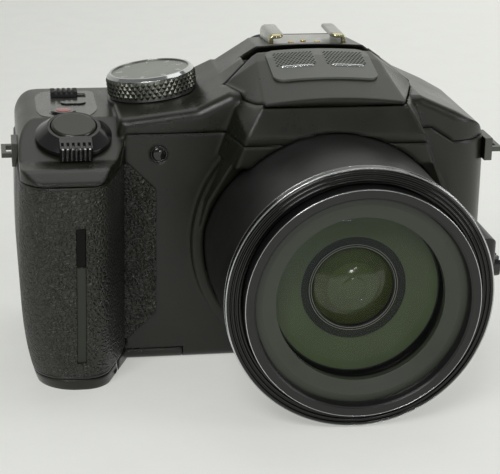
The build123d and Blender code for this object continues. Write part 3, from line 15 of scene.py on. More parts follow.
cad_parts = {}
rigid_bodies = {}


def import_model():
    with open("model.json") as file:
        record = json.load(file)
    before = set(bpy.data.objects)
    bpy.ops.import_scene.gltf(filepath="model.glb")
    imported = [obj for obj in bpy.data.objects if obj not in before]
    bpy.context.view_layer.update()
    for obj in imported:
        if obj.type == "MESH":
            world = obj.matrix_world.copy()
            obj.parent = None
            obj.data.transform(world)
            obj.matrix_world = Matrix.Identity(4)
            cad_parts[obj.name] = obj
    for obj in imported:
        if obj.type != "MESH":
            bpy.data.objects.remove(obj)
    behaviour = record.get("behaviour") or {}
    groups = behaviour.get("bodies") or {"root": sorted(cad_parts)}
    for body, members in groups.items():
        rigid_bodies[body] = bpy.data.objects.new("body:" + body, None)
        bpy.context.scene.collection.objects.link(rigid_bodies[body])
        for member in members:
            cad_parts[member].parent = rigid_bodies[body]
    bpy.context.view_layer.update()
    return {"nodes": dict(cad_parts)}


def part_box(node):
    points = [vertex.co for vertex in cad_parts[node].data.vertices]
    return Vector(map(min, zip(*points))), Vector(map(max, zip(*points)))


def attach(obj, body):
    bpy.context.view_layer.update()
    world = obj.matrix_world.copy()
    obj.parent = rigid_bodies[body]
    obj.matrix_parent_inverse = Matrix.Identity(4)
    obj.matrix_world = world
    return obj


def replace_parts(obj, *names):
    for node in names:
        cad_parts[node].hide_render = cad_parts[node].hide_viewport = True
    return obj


LOG = logging.getLogger("camera_looks")
MM = 0.001
LENS_AXIS = (14.0, 32.8)
FRONT_FACE = -17.0
TINY = 0.001
ROUND_ANGLE = 32

# Wear that every finish shares: patches in mm, and the noise levels that they start and end at
PATCH_SIZE = 14.0
PATCH_ROUGHNESS = 0.65
WORN_LEVELS = (0.42, 0.8)
WORN_SHARE = 0.8
MATT_LEVELS = (0.3, 0.7)
COAT_ROUGHNESS = 0.08
FILM_IOR = 1.38

# Leather grain, in shares of the grain's size: how far cells drift, how wide creases are, how deep pores
CELL_DRIFT = 0.9
CREASE_WIDTH = 0.28
PORE_DEPTH = 0.35
BRUSHED_STRETCH = 0.06


def spot(across: float, back: float, up: float) -> Vector:
    """Turns a place on the camera, in mm from the lens axis and the front face, into scene metres.

    Args:
        across: Distance to the right of the lens axis, seen from the front.
        back: Distance behind the front face.
        up: Height over the base.

    Returns:
        The point in metres.
    """
    return Vector((LENS_AXIS[0] + across, FRONT_FACE + back, up)) * MM


def linear(code: str) -> tuple[float, float, float, float]:
    """Turns an sRGB hex value into the linear colour that a shader takes.

    Args:
        code: Six hex digits after a hash sign.

    Returns:
        Red, green, blue and an alpha of 1.
    """
    shares = [int(code[i:i + 2], 16) / 255 for i in (1, 3, 5)]
    lit = [c / 12.92 if c <= 0.04045 else ((c + 0.055) / 1.055) ** 2.4 for c in shares]
    return (*lit, 1.0)


def add_node(tree: bpy.types.NodeTree, kind: str, settings: dict | None = None,
             inputs: dict | None = None) -> bpy.types.Node:
    """Adds a node with its settings and links.

    Args:
        tree: The tree that takes the node.
        kind: The node's type name.
        settings: Attributes of the node by name.
        inputs: Values, or output sockets to link, by input name or number.

    Returns:
        The new node.
    """
    node = tree.nodes.new(kind)
    for name, value in (settings or {}).items():
        setattr(node, name, value)
    for name, value in (inputs or {}).items():
        if isinstance(value, bpy.types.NodeSocket):
            tree.links.new(value, node.inputs[name])
        else:
            node.inputs[name].default_value = value
    return node


class Pattern(Enum):
    """How a surface was made."""

    MOULDED = "moulded"
    LEATHER = "leather"
    BRUSHED = "brushed"
    TURNED = "turned"
    POLISHED = "polished"


@dataclass(frozen=True)
class Finish:
    """One finish: a real material, its colour and the relief that its making leaves.

    Args:
        name: What the material is called.
        colour: Its colour as sRGB hex.
        worn: The colour where it is rubbed or dusty, as sRGB hex.
        roughness: How matt it is, and how far that varies either way.
        pattern: How its surface was made.
        grain: Size of the pattern in mm.
        relief: Height of the pattern in mm.
        edge: Radius in mm that catches light along its edges.
        metallic: 1 on bare metal.
        ior: Index of refraction, left at the default on metal.
        coat: Strength of a clear lacquer.
        film: Thickness of an optical coating in nm.
        clear: Share of light that passes straight through.
        axis: Centre of a turned pattern, in mm, as across, back and up.
    """

    name: str
    colour: str
    worn: str
    roughness: tuple[float, float]
    pattern: Pattern
    grain: float = 0.3
    relief: float = 0.01
    edge: float = 0.2
    metallic: float = 0.0
    ior: float = 1.5
    coat: float = 0.0
    film: float = 0.0
    clear: float = 0.0
    axis: tuple[float, float, float] = (0.0, 0.0, 32.8)

    def material(self) -> bpy.types.Material:
        """Builds the finish as a node material.

        Returns:
            The material, made once and then shared.
        """
        known = bpy.data.materials.get(self.name)
        if known is not None:
            return known
        made = bpy.data.materials.new(self.name)
        made.use_nodes = True
        tree = made.node_tree
        tree.nodes.clear()
        place = add_node(tree, "ShaderNodeTexCoord").outputs["Object"]
        height = self.height(tree, place)
        patches = add_node(tree, "ShaderNodeTexNoise", inputs={
            "Vector": place, "Scale": 1 / (PATCH_SIZE * MM), "Detail": 6.0,
            "Roughness": PATCH_ROUGHNESS,
        })
        tone = add_node(tree, "ShaderNodeMix", {"data_type": "RGBA"}, {
            "Factor": add_node(tree, "ShaderNodeMapRange", inputs={
                "Value": patches.outputs["Fac"], "From Min": WORN_LEVELS[0], "From Max": WORN_LEVELS[1],
                "To Min": 0.0, "To Max": WORN_SHARE,
            }).outputs["Result"],
            6: linear(self.colour), 7: linear(self.worn),
        })
        matt = add_node(tree, "ShaderNodeMapRange", inputs={
            "Value": patches.outputs["Fac"], "From Min": MATT_LEVELS[0], "From Max": MATT_LEVELS[1],
            "To Min": self.roughness[0] - self.roughness[1],
            "To Max": self.roughness[0] + self.roughness[1],
        })
        rounded = add_node(tree, "ShaderNodeBevel", {"samples": 6}, {"Radius": self.edge * MM})
        bump = add_node(tree, "ShaderNodeBump", inputs={
            "Strength": 1.0, "Distance": self.relief * MM, "Height": height,
            "Normal": rounded.outputs["Normal"],
        })
        shader = add_node(tree, "ShaderNodeBsdfPrincipled", inputs={
            "Base Color": tone.outputs[2], "Roughness": matt.outputs["Result"],
            "Normal": bump.outputs["Normal"], "Metallic": self.metallic, "IOR": self.ior,
            "Coat Weight": self.coat, "Coat Roughness": COAT_ROUGHNESS, "Alpha": 1 - self.clear,
            "Thin Film Thickness": self.film, "Thin Film IOR": FILM_IOR,
        })
        add_node(tree, "ShaderNodeOutputMaterial", inputs={"Surface": shader.outputs["BSDF"]})
        made.diffuse_color = linear(self.colour)
        return made

    def height(self, tree: bpy.types.NodeTree, place: bpy.types.NodeSocket) -> bpy.types.NodeSocket:
        """Builds the relief of the pattern.

        Args:
            tree: The material's tree.
            place: Object coordinates in metres.

        Returns:
            The socket that holds the height as a share of the relief.
        """
        per_grain = 1 / (self.grain * MM)
        if self.pattern is Pattern.LEATHER:
            drift = add_node(tree, "ShaderNodeTexNoise", inputs={
                "Vector": place, "Scale": per_grain * 0.6, "Detail": 2.0,
            })
            moved = add_node(tree, "ShaderNodeVectorMath", {"operation": "MULTIPLY_ADD"}, {
                0: drift.outputs["Color"], 1: (self.grain * MM * CELL_DRIFT,) * 3, 2: place,
            })
            cells = add_node(tree, "ShaderNodeTexVoronoi", {"feature": "DISTANCE_TO_EDGE"}, {
                "Vector": moved.outputs["Vector"], "Scale": per_grain,
            })
            creases = add_node(tree, "ShaderNodeMapRange", {"interpolation_type": "SMOOTHSTEP"}, {
                "Value": cells.outputs["Distance"], "From Min": 0.0, "From Max": CREASE_WIDTH,
            })
            pores = add_node(tree, "ShaderNodeTexNoise", inputs={
                "Vector": place, "Scale": per_grain * 5, "Detail": 3.0,
            })
            return add_node(tree, "ShaderNodeMath", {"operation": "MULTIPLY_ADD"}, {
                0: pores.outputs["Fac"], 1: PORE_DEPTH, 2: creases.outputs["Result"],
            }).outputs["Value"]
        if self.pattern is Pattern.TURNED:
            centre = spot(*self.axis)
            away = add_node(tree, "ShaderNodeVectorMath", {"operation": "SUBTRACT"}, {
                0: place, 1: tuple(centre),
            })
            flat = add_node(tree, "ShaderNodeVectorMath", {"operation": "MULTIPLY"}, {
                0: away.outputs["Vector"], 1: (1.0, 0.0, 1.0),
            })
            reach = add_node(tree, "ShaderNodeVectorMath", {"operation": "LENGTH"}, {
                0: flat.outputs["Vector"],
            })
            return add_node(tree, "ShaderNodeTexNoise", {"noise_dimensions": "1D"}, {
                "W": reach.outputs["Value"], "Scale": per_grain, "Detail": 4.0,
            }).outputs["Fac"]
        stretch = (1.0, 1.0, BRUSHED_STRETCH) if self.pattern is Pattern.BRUSHED else (1.0, 1.0, 1.0)
        drawn = add_node(tree, "ShaderNodeMapping", inputs={"Vector": place, "Scale": stretch})
        return add_node(tree, "ShaderNodeTexNoise", inputs={
            "Vector": drawn.outputs["Vector"], "Scale": per_grain, "Detail": 3.0,
        }).outputs["Fac"]


# Broad soft highlights and a fine even stipple, as on a satin moulding.
CASING = Finish("moulded_abs_satin_black", "#16180f", "#202217", (0.3, 0.05), Pattern.MOULDED,
                grain=0.24, relief=0.03, edge=1.4)
# Rounded cells between dark creases, which break every highlight up.
GRIP_SKIN = Finish("moulded_rubber_leather_grain", "#25271f", "#34362e", (0.42, 0.08), Pattern.LEATHER,
                   grain=1.15, relief=0.35, edge=0.5)
# A quiet grey sheen that runs round with the turning.
NAME_RING = Finish("turned_lens_ring_satin", "#33382e", "#3b4035", (0.42, 0.05), Pattern.TURNED,
                   grain=0.5, relief=0.006, edge=0.2)
# Deep black with thin sharp highlights.
RING_BLACK = Finish("polished_ring_black", "#060704", "#0a0b08", (0.12, 0.03), Pattern.POLISHED,
                    grain=1.5, relief=0.002, edge=0.3, ior=1.4, coat=0.2)
# Pale grey under a thin lacquer, brighter than the casing round it.
MIC_PLATE = Finish("satin_lacquered_plate", "#474943", "#53554f", (0.3, 0.05), Pattern.MOULDED,
                   grain=0.25, relief=0.012, edge=0.3, coat=0.3)
# A slightly paler, smoother field than the casing: partly its own grey, partly a painted reflection.
DECK_PLATE = Finish("control_plate_painted_sheen", "#3c3e38", "#484a44", (0.26, 0.05), Pattern.MOULDED,
                    grain=0.25, relief=0.01, edge=0.2, coat=0.3)
# Grey metal whose studs each catch one spark.
DIAL_CUT = Finish("knurled_aluminium_dark", "#63655c", "#74766d", (0.3, 0.06), Pattern.MOULDED,
                  grain=0.2, relief=0.006, edge=0.1, metallic=1.0)
# Near black and smooth, darker than the rubber round it.
WINDOW_BLACK = Finish("infrared_window_black", "#050603", "#080906", (0.12, 0.02), Pattern.POLISHED,
                      grain=2.0, relief=0.001, edge=0.2, ior=1.25)
# Matt and plain, so the strip reads as a break in the leather.
STRIP_SKIN = Finish("moulded_rubber_smooth", "#24271d", "#2b2e24", (0.5, 0.05), Pattern.MOULDED,
                    grain=0.3, relief=0.01, edge=0.15)
# A warm black that shows the lamps as soft spots.
OLIVE_GLOSS = Finish("polished_abs_olive_black", "#1d1e13", "#25261a", (0.3, 0.04), Pattern.POLISHED,
                     grain=1.5, relief=0.004, edge=0.4, coat=0.15)
# Dark metal with a short blurred glint.
DULL_STEEL = Finish("blackened_steel", "#5a5b57", "#6b6c68", (0.34, 0.06), Pattern.BRUSHED,
                    grain=0.12, relief=0.006, edge=0.2, metallic=1.0)
# Paler, yellowish metal on the front ends of the rails: a painted highlight.
RAIL_TIP_SHINE = Finish("rail_tip_painted_highlight", "#cfc9a4", "#b7ad7c", (0.2, 0.05), Pattern.POLISHED,
                grain=1.5, relief=0.003, edge=0.2, metallic=1.0)
# Dead matt black without a highlight.
SOFT_RUBBER = Finish("moulded_silicone_matt_black", "#161616", "#232423", (0.72, 0.06), Pattern.MOULDED,
                     grain=0.3, relief=0.02, edge=0.5)
# Smooth black with a long soft highlight down the tube.
BARREL = Finish("moulded_polycarbonate_black", "#141514", "#1e1f1e", (0.36, 0.05), Pattern.MOULDED,
                grain=0.15, relief=0.006, edge=0.25)
# Black with faint rings from the lathe.
TURNED_BLACK = Finish("turned_polycarbonate_black", "#131413", "#1b1c1b", (0.33, 0.05), Pattern.TURNED,
                      grain=0.25, relief=0.012, edge=0.25)
# Shiny black that mirrors the lamps on each key.
GLOSS = Finish("polished_abs_black", "#101110", "#191a19", (0.17, 0.05), Pattern.POLISHED,
               grain=1.5, relief=0.004, edge=0.25, coat=0.3)
# Soft grey metal with an even bloom.
ANODISED = Finish("anodised_aluminium_grey", "#8d8f8a", "#9c9e99", (0.32, 0.06), Pattern.MOULDED,
                  grain=0.2, relief=0.006, edge=0.15, metallic=1.0)
# A bright line wherever an edge faces a lamp.
CHROME = Finish("bright_chrome_plate", "#c9cbca", "#b4b6b5", (0.12, 0.05), Pattern.POLISHED,
                grain=2.0, relief=0.002, edge=0.15, metallic=1.0)
# Bright metal with its highlight drawn out across the brushing.
STEEL = Finish("brushed_stainless_steel", "#b9bab6", "#a3a49f", (0.3, 0.08), Pattern.BRUSHED,
               grain=0.12, relief=0.006, edge=0.15, metallic=1.0)
# Dull metal with a faint mottle.
SHEET = Finish("zinc_plated_sheet", "#a8a9a4", "#8f908a", (0.38, 0.08), Pattern.MOULDED,
               grain=0.6, relief=0.004, edge=0.15, metallic=1.0)
# Bare grey metal with faint rings from the lathe.
CELL = Finish("turned_aluminium_bare", "#9a9c8c", "#7f8173", (0.28, 0.05), Pattern.TURNED,
              grain=0.2, relief=0.01, edge=0.12, metallic=1.0)
# Small warm yellow glints on the contacts.
GILT = Finish("gilded_contact", "#d9b76a", "#b8954d", (0.22, 0.05), Pattern.POLISHED,
              grain=1.0, relief=0.002, edge=0.1, metallic=1.0)
# Almost clear, with a coloured tint in its reflections.
FRONT_GLASS = Finish("coated_optical_glass", "#0c150d", "#0f1a10", (0.03, 0.01), Pattern.POLISHED,
                     grain=6.0, relief=0.0, edge=0.05, ior=1.5, film=310.0, clear=0.84)
# Olive glass that holds the glow deep in the lens.
REAR_GLASS = Finish("coated_optical_glass_olive", "#414d1c", "#515d26", (0.1, 0.02), Pattern.POLISHED,
                    grain=6.0, relief=0.0, edge=0.05, ior=1.6, coat=0.5)
# Dark green painted shade in the groove round the second lens, which sets it apart; the retainer takes the
# same colour.
GROOVE_SHADE = Finish("groove_painted_shade", "#1c2611", "#222d16", (0.5, 0.05), Pattern.TURNED,
                grain=0.3, relief=0.01, edge=0.05)
# Brighter green than the glass round it: a painted glow at the lens's centre, under a clear reflection.
PUPIL_GLOW = Finish("inner_glass_painted_glow", "#4c5b2a", "#576634", (0.12, 0.02), Pattern.POLISHED,
               grain=6.0, relief=0.0, edge=0.05, ior=1.6, coat=0.6)
# Green-grey cone that pales towards the light.
CELL_SHADE = Finish("lacquered_lens_cell", "#52623e", "#5a6b45", (0.4, 0.05), Pattern.TURNED,
                    grain=0.8, relief=0.005, edge=0.1, coat=0.2)
# Thin pale edges round the retainer.
CELL_RING = Finish("turned_aluminium_lacquered", "#a9ad9d", "#8f9383", (0.34, 0.05), Pattern.TURNED,
                   grain=0.2, relief=0.01, edge=0.08)
# Milky plastic with upright ribs that spread the light.
WINDOW = Finish("ribbed_acrylic", "#c9cfd0", "#b5bbbc", (0.12, 0.04), Pattern.BRUSHED,
                grain=0.4, relief=0.05, edge=0.2, ior=1.49, clear=0.25)
# Dark tinted dome with one small highlight.
LAMP = Finish("tinted_acrylic", "#12150f", "#1b1f16", (0.1, 0.03), Pattern.POLISHED,
              grain=1.0, relief=0.002, edge=0.2, coat=0.3)
# Black glass that mirrors the room.
SCREEN = Finish("cover_glass_black", "#07080a", "#0c0d10", (0.04, 0.01), Pattern.POLISHED,
                grain=8.0, relief=0.0, edge=0.2, coat=1.0)
# Green lacquer seen through the door.
BOARD = Finish("lacquered_circuit_board", "#12402a", "#1a5236", (0.35, 0.08), Pattern.MOULDED,
               grain=0.8, relief=0.01)
# Plain dark grey plastic.
CELL_CASE = Finish("moulded_battery_case", "#2b2c2e", "#3a3b3d", (0.45, 0.06), Pattern.MOULDED,
                   grain=0.3, relief=0.01)
# A clear red spot with a small highlight.
RED = Finish("polished_abs_red", "#8d1f1b", "#a12a25", (0.24, 0.05), Pattern.POLISHED,
             grain=1.0, relief=0.003, coat=0.4)
# Flat white ink with no gloss.
PRINT = Finish("screen_print_white", "#d5d7d2", "#c3c5c0", (0.5, 0.05), Pattern.MOULDED,
               grain=0.3, relief=0.002, edge=0.02)
# Grey metal sheet, so that the holes read as black dots.
MESH = Finish("etched_steel_mesh", "#70736f", "#8a8d88", (0.34, 0.06), Pattern.MOULDED,
              grain=0.3, relief=0.01, edge=0.05, metallic=1.0)
# Black that no lamp reaches.
DEEP = Finish("shadowed_opening", "#050505", "#080808", (0.8, 0.05), Pattern.MOULDED,
              grain=0.5, relief=0.002, edge=0.02)

DRESS: dict[str, Finish] = {
    "front_cover": CASING, "rear_cover": CASING, "top_cover": CASING, "bottom_cover": CASING,
    "grip_rubber": GRIP_SKIN, "thumb_rubber": GRIP_SKIN, "chassis": SHEET, "tripod_bush": STEEL,
    "hot_shoe": STEEL, "shoe_contacts": GILT, "af_lamp": LAMP, "strap_lugs": DULL_STEEL,
    "eyecup": SOFT_RUBBER, "eyepiece_lens": FRONT_GLASS, "main_board": BOARD, "sensor_unit": BOARD,
    "battery": CELL_CASE, "casing_screws": STEEL, "lens_barrel": BARREL, "barrel_ring": RING_BLACK,
    "zoom_motor": SHEET, "iris_unit": SHEET, "cam_barrel": BARREL, "zoom_barrel": BARREL,
    "front_barrel": TURNED_BLACK, "name_ring": NAME_RING, "front_lens": FRONT_GLASS,
    "variator_cell": CELL, "variator_lens": REAR_GLASS, "mode_dial": ANODISED, "zoom_lever": GLOSS,
    "shutter_button": OLIVE_GLOSS, "record_button": GLOSS, "burst_button": GLOSS,
    "power_switch": SOFT_RUBBER,
    "flash_head": CASING, "flash_window": WINDOW, "mic_grille": MIC_PLATE, "flash_button": GLOSS,
    "monitor_hinge": GLOSS, "monitor_frame": BARREL, "monitor_screen": SCREEN,
    "diopter_dial": BARREL, "rear_dial": BARREL, "af_lock_button": GLOSS, "evf_button": GLOSS,
    "key_up": GLOSS, "key_down": GLOSS, "key_left": GLOSS, "key_right": GLOSS, "menu_button": GLOSS,
    "disp_button": GLOSS, "quick_button": GLOSS, "play_button": GLOSS, "battery_door": CASING,
    "battery_latch": GLOSS, "terminal_door": CASING, "side_lever": GLOSS, "focus_button": GLOSS,
    "focus_switch": GLOSS,
}


def clean(mesh: bpy.types.Mesh, weld: float) -> None:
    """Welds corners that meet and turns the normals out.

    Args:
        mesh: The mesh.
        weld: How near corners have to be, in the mesh's own unit.
    """
    work = bmesh.new()
    work.from_mesh(mesh)
    bmesh.ops.remove_doubles(work, verts=work.verts, dist=weld)
    bmesh.ops.recalc_face_normals(work, faces=work.faces)
    work.to_mesh(mesh)
    work.free()


def link(name: str, data: bpy.types.ID) -> bpy.types.Object:
    """Puts new data into the scene.

    Args:
        name: The object's name.
        data: Its mesh, curve, lamp or camera.

    Returns:
        The object.
    """
    made = bpy.data.objects.new(name, data)
    bpy.context.scene.collection.objects.link(made)
    return made


def solved(carrier: bpy.types.Object) -> bpy.types.Mesh:
    """Makes a plain mesh of a text, a curve or an object with a modifier.

    Args:
        carrier: The object.

    Returns:
        The new mesh.
    """
    graph = bpy.context.evaluated_depsgraph_get()
    return bpy.data.meshes.new_from_object(carrier.evaluated_get(graph))


def sheet_faces(columns: int, rows: int) -> list[tuple[int, ...]]:
    """Joins two layers of a grid of corners into a closed sheet.

    Args:
        columns: Faces across.
        rows: Faces up.

    Returns:
        Corner numbers of each face.
    """
    wide = columns + 1
    low = wide * (rows + 1)
    faces = []
    for j in range(rows):
        for i in range(columns):
            k = j * wide + i
            faces.append((k, k + 1, k + wide + 1, k + wide))
            faces.append((low + k, low + k + wide, low + k + wide + 1, low + k + 1))
    rim = list(range(wide)) + [j * wide + columns for j in range(1, rows + 1)]
    rim += [rows * wide + i for i in range(columns - 1, -1, -1)]
    rim += [j * wide for j in range(rows - 1, 0, -1)]
    for k, here in enumerate(rim):
        there = rim[(k + 1) % len(rim)]
        faces.append((here, low + here, low + there, there))
    return faces


def bar_faces(gaps: int, count: int) -> list[tuple[int, ...]]:
    """Joins equal sections, one after another, into a closed bar.

    Args:
        gaps: Gaps between the sections.
        count: Corners of each section.

    Returns:
        Corner numbers of each face.
    """
    faces = []
    for i in range(gaps):
        for k in range(count):
            m = (k + 1) % count
            faces.append((i * count + k, i * count + m, (i + 1) * count + m, (i + 1) * count + k))
    return faces + [tuple(range(count)), tuple(gaps * count + k for k in range(count))]


def shape(name: str, corners: list, faces: list, smooth: bool = False) -> bpy.types.Object:
    """Makes a mesh object from corners and faces, with its normals facing out.

    Args:
        name: The piece's name.
        corners: Points in metres.
        faces: Corner numbers of each face.
        smooth: True on a rounded surface.

    Returns:
        The object, linked to the scene.
    """
    mesh = bpy.data.meshes.new(name)
    mesh.from_pydata([tuple(c) for c in corners], [], faces)
    clean(mesh, 1e-7)
    mesh.polygons.foreach_set("use_smooth", [smooth] * len(mesh.polygons))
    return link(name, mesh)


def lathe(name: str, profile: list[tuple[float, float]], stand: Matrix, segments: int = 128,
          smooth: bool = True) -> bpy.types.Object:
    """Turns a closed profile about the local z axis and puts it in its place.

    Args:
        name: The piece's name.
        profile: Radius and height of each corner, in mm, in order round the section.
        stand: Where the piece stands.
        segments: Faces round the axis.
        smooth: True to shade it as round.

    Returns:
        The turned piece.
    """
    corners = []
    for step in range(segments):
        turn = 2 * pi * step / segments
        corners += [stand @ Vector((r * cos(turn), r * sin(turn), h)) for r, h in profile]
    count = len(profile)
    faces = []
    for step in range(segments):
        here, there = step * count, (step + 1) % segments * count
        for i in range(count):
            j = (i + 1) % count
            faces.append((here + i, here + j, there + j, there + i))
    piece = shape(name, corners, faces, smooth)
    if smooth:
        piece.data.set_sharp_from_angle(angle=radians(ROUND_ANGLE))
    return piece


def cut_plate(name: str, rings: list[list[tuple[float, float]]], thick: float,
              stand: Matrix) -> bpy.types.Object:
    """Cuts a flat plate with openings and puts it in its place.

    Args:
        name: The piece's name.
        rings: The outline first, then each opening, as points in mm.
        thick: How thick the plate is in mm.
        stand: Where the plate's middle plane stands.

    Returns:
        The plate.
    """
    curve = bpy.data.curves.new(name, "CURVE")
    curve.dimensions = "2D"
    curve.fill_mode = "BOTH"
    curve.extrude = thick / 2
    for ring in rings:
        line = curve.splines.new("POLY")
        line.points.add(len(ring) - 1)
        for point, (x, y) in zip(line.points, ring):
            point.co = (x, y, 0, 1)
        line.use_cyclic_u = True
    carrier = link(f"{name}_outline", curve)
    mesh = solved(carrier)
    bpy.data.objects.remove(carrier)
    clean(mesh, 1e-5)
    mesh.transform(stand)
    return link(name, mesh)


def rounded(corners: list[tuple[float, float]], radius: float, steps: int = 8) -> list[tuple[float, float]]:
    """Rounds the corners of a flat outline.

    Args:
        corners: The outline's corners in order.
        radius: How far from each corner its rounding starts.
        steps: Points on each corner.

    Returns:
        The rounded outline.
    """
    line = []
    for i, corner in enumerate(corners):
        here = Vector(corner)
        start = here + (Vector(corners[i - 1]) - here).normalized() * radius
        end = here + (Vector(corners[(i + 1) % len(corners)]) - here).normalized() * radius
        for step in range(steps + 1):
            t = step / steps
            line.append(tuple(start * (1 - t) ** 2 + here * (2 * t * (1 - t)) + end * t ** 2))
    return line


def oval(middle: tuple[float, float], half: tuple[float, float], power: float = 1.0,
         steps: int = 40) -> list[tuple[float, float]]:
    """Draws an oval outline.

    Args:
        middle: Its middle.
        half: Half its width and depth.
        power: 1 for an ellipse, lower for a squarer one.
        steps: Points on it.

    Returns:
        The outline.
    """
    line = []
    for step in range(steps):
        turn = 2 * pi * step / steps
        c, d = cos(turn), sin(turn)
        line.append((middle[0] + half[0] * abs(c) ** power * (1 if c > 0 else -1),
                     middle[1] + half[1] * abs(d) ** power * (1 if d > 0 else -1)))
    return line


def stand_at(origin: Vector, across: Vector, normal: Vector) -> Matrix:
    """Makes the matrix that puts millimetre shapes on a plane of the camera.

    Args:
        origin: The plane's origin in metres.
        across: The direction of local x.
        normal: The direction of local z.

    Returns:
        The matrix, with the step from mm to metres in it.
    """
    x = across.normalized()
    z = normal.normalized()
    y = z.cross(x)
    turned = Matrix((x, y, z)).transposed().to_4x4()
    return Matrix.Translation(origin) @ turned @ Matrix.Scale(MM, 4)


def settle(piece: bpy.types.Object, finish: Finish, body: str) -> bpy.types.Object:
    """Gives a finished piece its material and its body.

    Args:
        piece: The piece, in place.
        finish: What it is made of.
        body: The body it moves with.

    Returns:
        The same piece.
    """
    if not piece.data.materials:
        piece.data.materials.append(finish.material())
    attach(piece, body)
    LOG.info("%s rides on %s in %s", piece.name, body, finish.name)
    return piece


class RepeatTree:
    """A Geometry Nodes tree that repeats a small shape, made once and then used with its inputs."""

    def __init__(self, name: str, sizes: dict[str, float], counts: dict[str, int]) -> None:
        """Makes the tree's named inputs.

        Args:
            name: The tree's name.
            sizes: Named lengths or angles and their values at first.
            counts: Named whole numbers and their values at first.
        """
        self.tree = bpy.data.node_groups.new(name, "GeometryNodeTree")
        face = self.tree.interface
        face.new_socket("Geometry", in_out="INPUT", socket_type="NodeSocketGeometry")
        self.sockets = {}
        for label, value in {**sizes, **counts}.items():
            kind = "NodeSocketInt" if label in counts else "NodeSocketFloat"
            socket = face.new_socket(label, in_out="INPUT", socket_type=kind)
            socket.default_value = value
            self.sockets[label] = socket.identifier
        self.sockets["Finish"] = face.new_socket(
            "Finish", in_out="INPUT", socket_type="NodeSocketMaterial").identifier
        face.new_socket("Geometry", in_out="OUTPUT", socket_type="NodeSocketGeometry")
        self.start = add_node(self.tree, "NodeGroupInput")

    def math(self, operation: str, first: object, second: object) -> bpy.types.NodeSocket:
        """Adds one sum to the tree and returns its result."""
        return add_node(self.tree, "ShaderNodeMath", {"operation": operation},
                        {0: first, 1: second}).outputs["Value"]

    def finish(self, points: bpy.types.NodeSocket, rotation: bpy.types.NodeSocket | None) -> None:
        """Puts the shape on the points and ends the tree in real geometry with its material.

        Args:
            points: The points that take the shape.
            rotation: The turn of each copy, or None.
        """
        given = {"Points": points, "Instance": self.start.outputs["Geometry"]}
        if rotation is not None:
            given["Rotation"] = rotation
        copies = add_node(self.tree, "GeometryNodeInstanceOnPoints", inputs=given)
        real = add_node(self.tree, "GeometryNodeRealizeInstances", inputs={
            "Geometry": copies.outputs["Instances"],
        })
        dressed = add_node(self.tree, "GeometryNodeSetMaterial", inputs={
            "Geometry": real.outputs["Geometry"], "Material": self.start.outputs["Finish"],
        })
        add_node(self.tree, "NodeGroupOutput", inputs={"Geometry": dressed.outputs["Geometry"]})

    def repeat(self, template: bpy.types.Object, stand: Matrix, finish: Finish,
               values: dict[str, float]) -> bpy.types.Object:
        """Repeats a template in mm and puts the result in its place as a plain mesh.

        Args:
            template: The small shape, in mm at the origin.
            stand: Where the rows of copies stand.
            finish: What the copies are made of.
            values: The tree's inputs by name.

        Returns:
            The template's object, now with the repeated mesh.
        """
        modifier = template.modifiers.new("repeat", "NODES")
        modifier.node_group = self.tree
        for label, value in values.items():
            modifier[self.sockets[label]] = value
        modifier[self.sockets["Finish"]] = finish.material()
        mesh = solved(template)
        template.modifiers.remove(modifier)
        template.data = mesh
        mesh.transform(stand)
        if not mesh.materials:
            mesh.materials.append(finish.material())
        return template


class RingTree(RepeatTree):
    """Repeats a shape in rows round the local z axis, each row turned by half a step."""

    def __init__(self) -> None:
        """Builds the tree."""
        super().__init__("rows_round_an_axis", {"Rise": 1.0}, {"Count": 12, "Rows": 1})
        tree, given = self.tree, self.start.outputs
        line = add_node(tree, "GeometryNodeMeshLine", inputs={
            "Count": self.math("MULTIPLY", given["Count"], given["Rows"]), "Offset": (0.0, 0.0, 0.0),
        })
        index = add_node(tree, "GeometryNodeInputIndex").outputs["Index"]
        row = self.math("FLOOR", self.math("DIVIDE", index, given["Count"]), 0.0)
        steps = self.math("ADD", index, self.math("MULTIPLY", row, 0.5))
        turn = self.math("MULTIPLY", self.math("DIVIDE", steps, given["Count"]), 2 * pi)
        lift = add_node(tree, "ShaderNodeCombineXYZ", inputs={"Z": self.math("MULTIPLY", row, given["Rise"])})
        lifted = add_node(tree, "GeometryNodeSetPosition", inputs={
            "Geometry": line.outputs["Mesh"], "Offset": lift.outputs["Vector"],
        })
        spin = add_node(tree, "ShaderNodeCombineXYZ", inputs={"Z": turn})
        self.finish(lifted.outputs["Geometry"], spin.outputs["Vector"])


class GridTree(RepeatTree):
    """Repeats a shape on a level grid, every second row moved by half a step."""

    def __init__(self) -> None:
        """Builds the tree."""
        super().__init__("grid_on_a_plane", {"Step x": 1.0, "Step y": 1.0, "Stagger": 0.5},
                         {"Columns": 4, "Rows": 4})
        tree, given = self.tree, self.start.outputs
        line = add_node(tree, "GeometryNodeMeshLine", inputs={
            "Count": self.math("MULTIPLY", given["Columns"], given["Rows"]), "Offset": (0.0, 0.0, 0.0),
        })
        index = add_node(tree, "GeometryNodeInputIndex").outputs["Index"]
        row = self.math("FLOOR", self.math("DIVIDE", index, given["Columns"]), 0.0)
        column = self.math("MODULO", index, given["Columns"])
        odd = self.math("MULTIPLY", self.math("MODULO", row, 2.0), given["Stagger"])
        middle_x = self.math("DIVIDE", self.math("SUBTRACT", given["Columns"], 1.0), 2.0)
        middle_y = self.math("DIVIDE", self.math("SUBTRACT", given["Rows"], 1.0), 2.0)
        offset = add_node(tree, "ShaderNodeCombineXYZ", inputs={
            "X": self.math("MULTIPLY", self.math("SUBTRACT", self.math("ADD", column, odd), middle_x),
                           given["Step x"]),
            "Y": self.math("MULTIPLY", self.math("SUBTRACT", row, middle_y), given["Step y"]),
        })
        placed = add_node(tree, "GeometryNodeSetPosition", inputs={
            "Geometry": line.outputs["Mesh"], "Offset": offset.outputs["Vector"],
        })
        self.finish(placed.outputs["Geometry"], None)


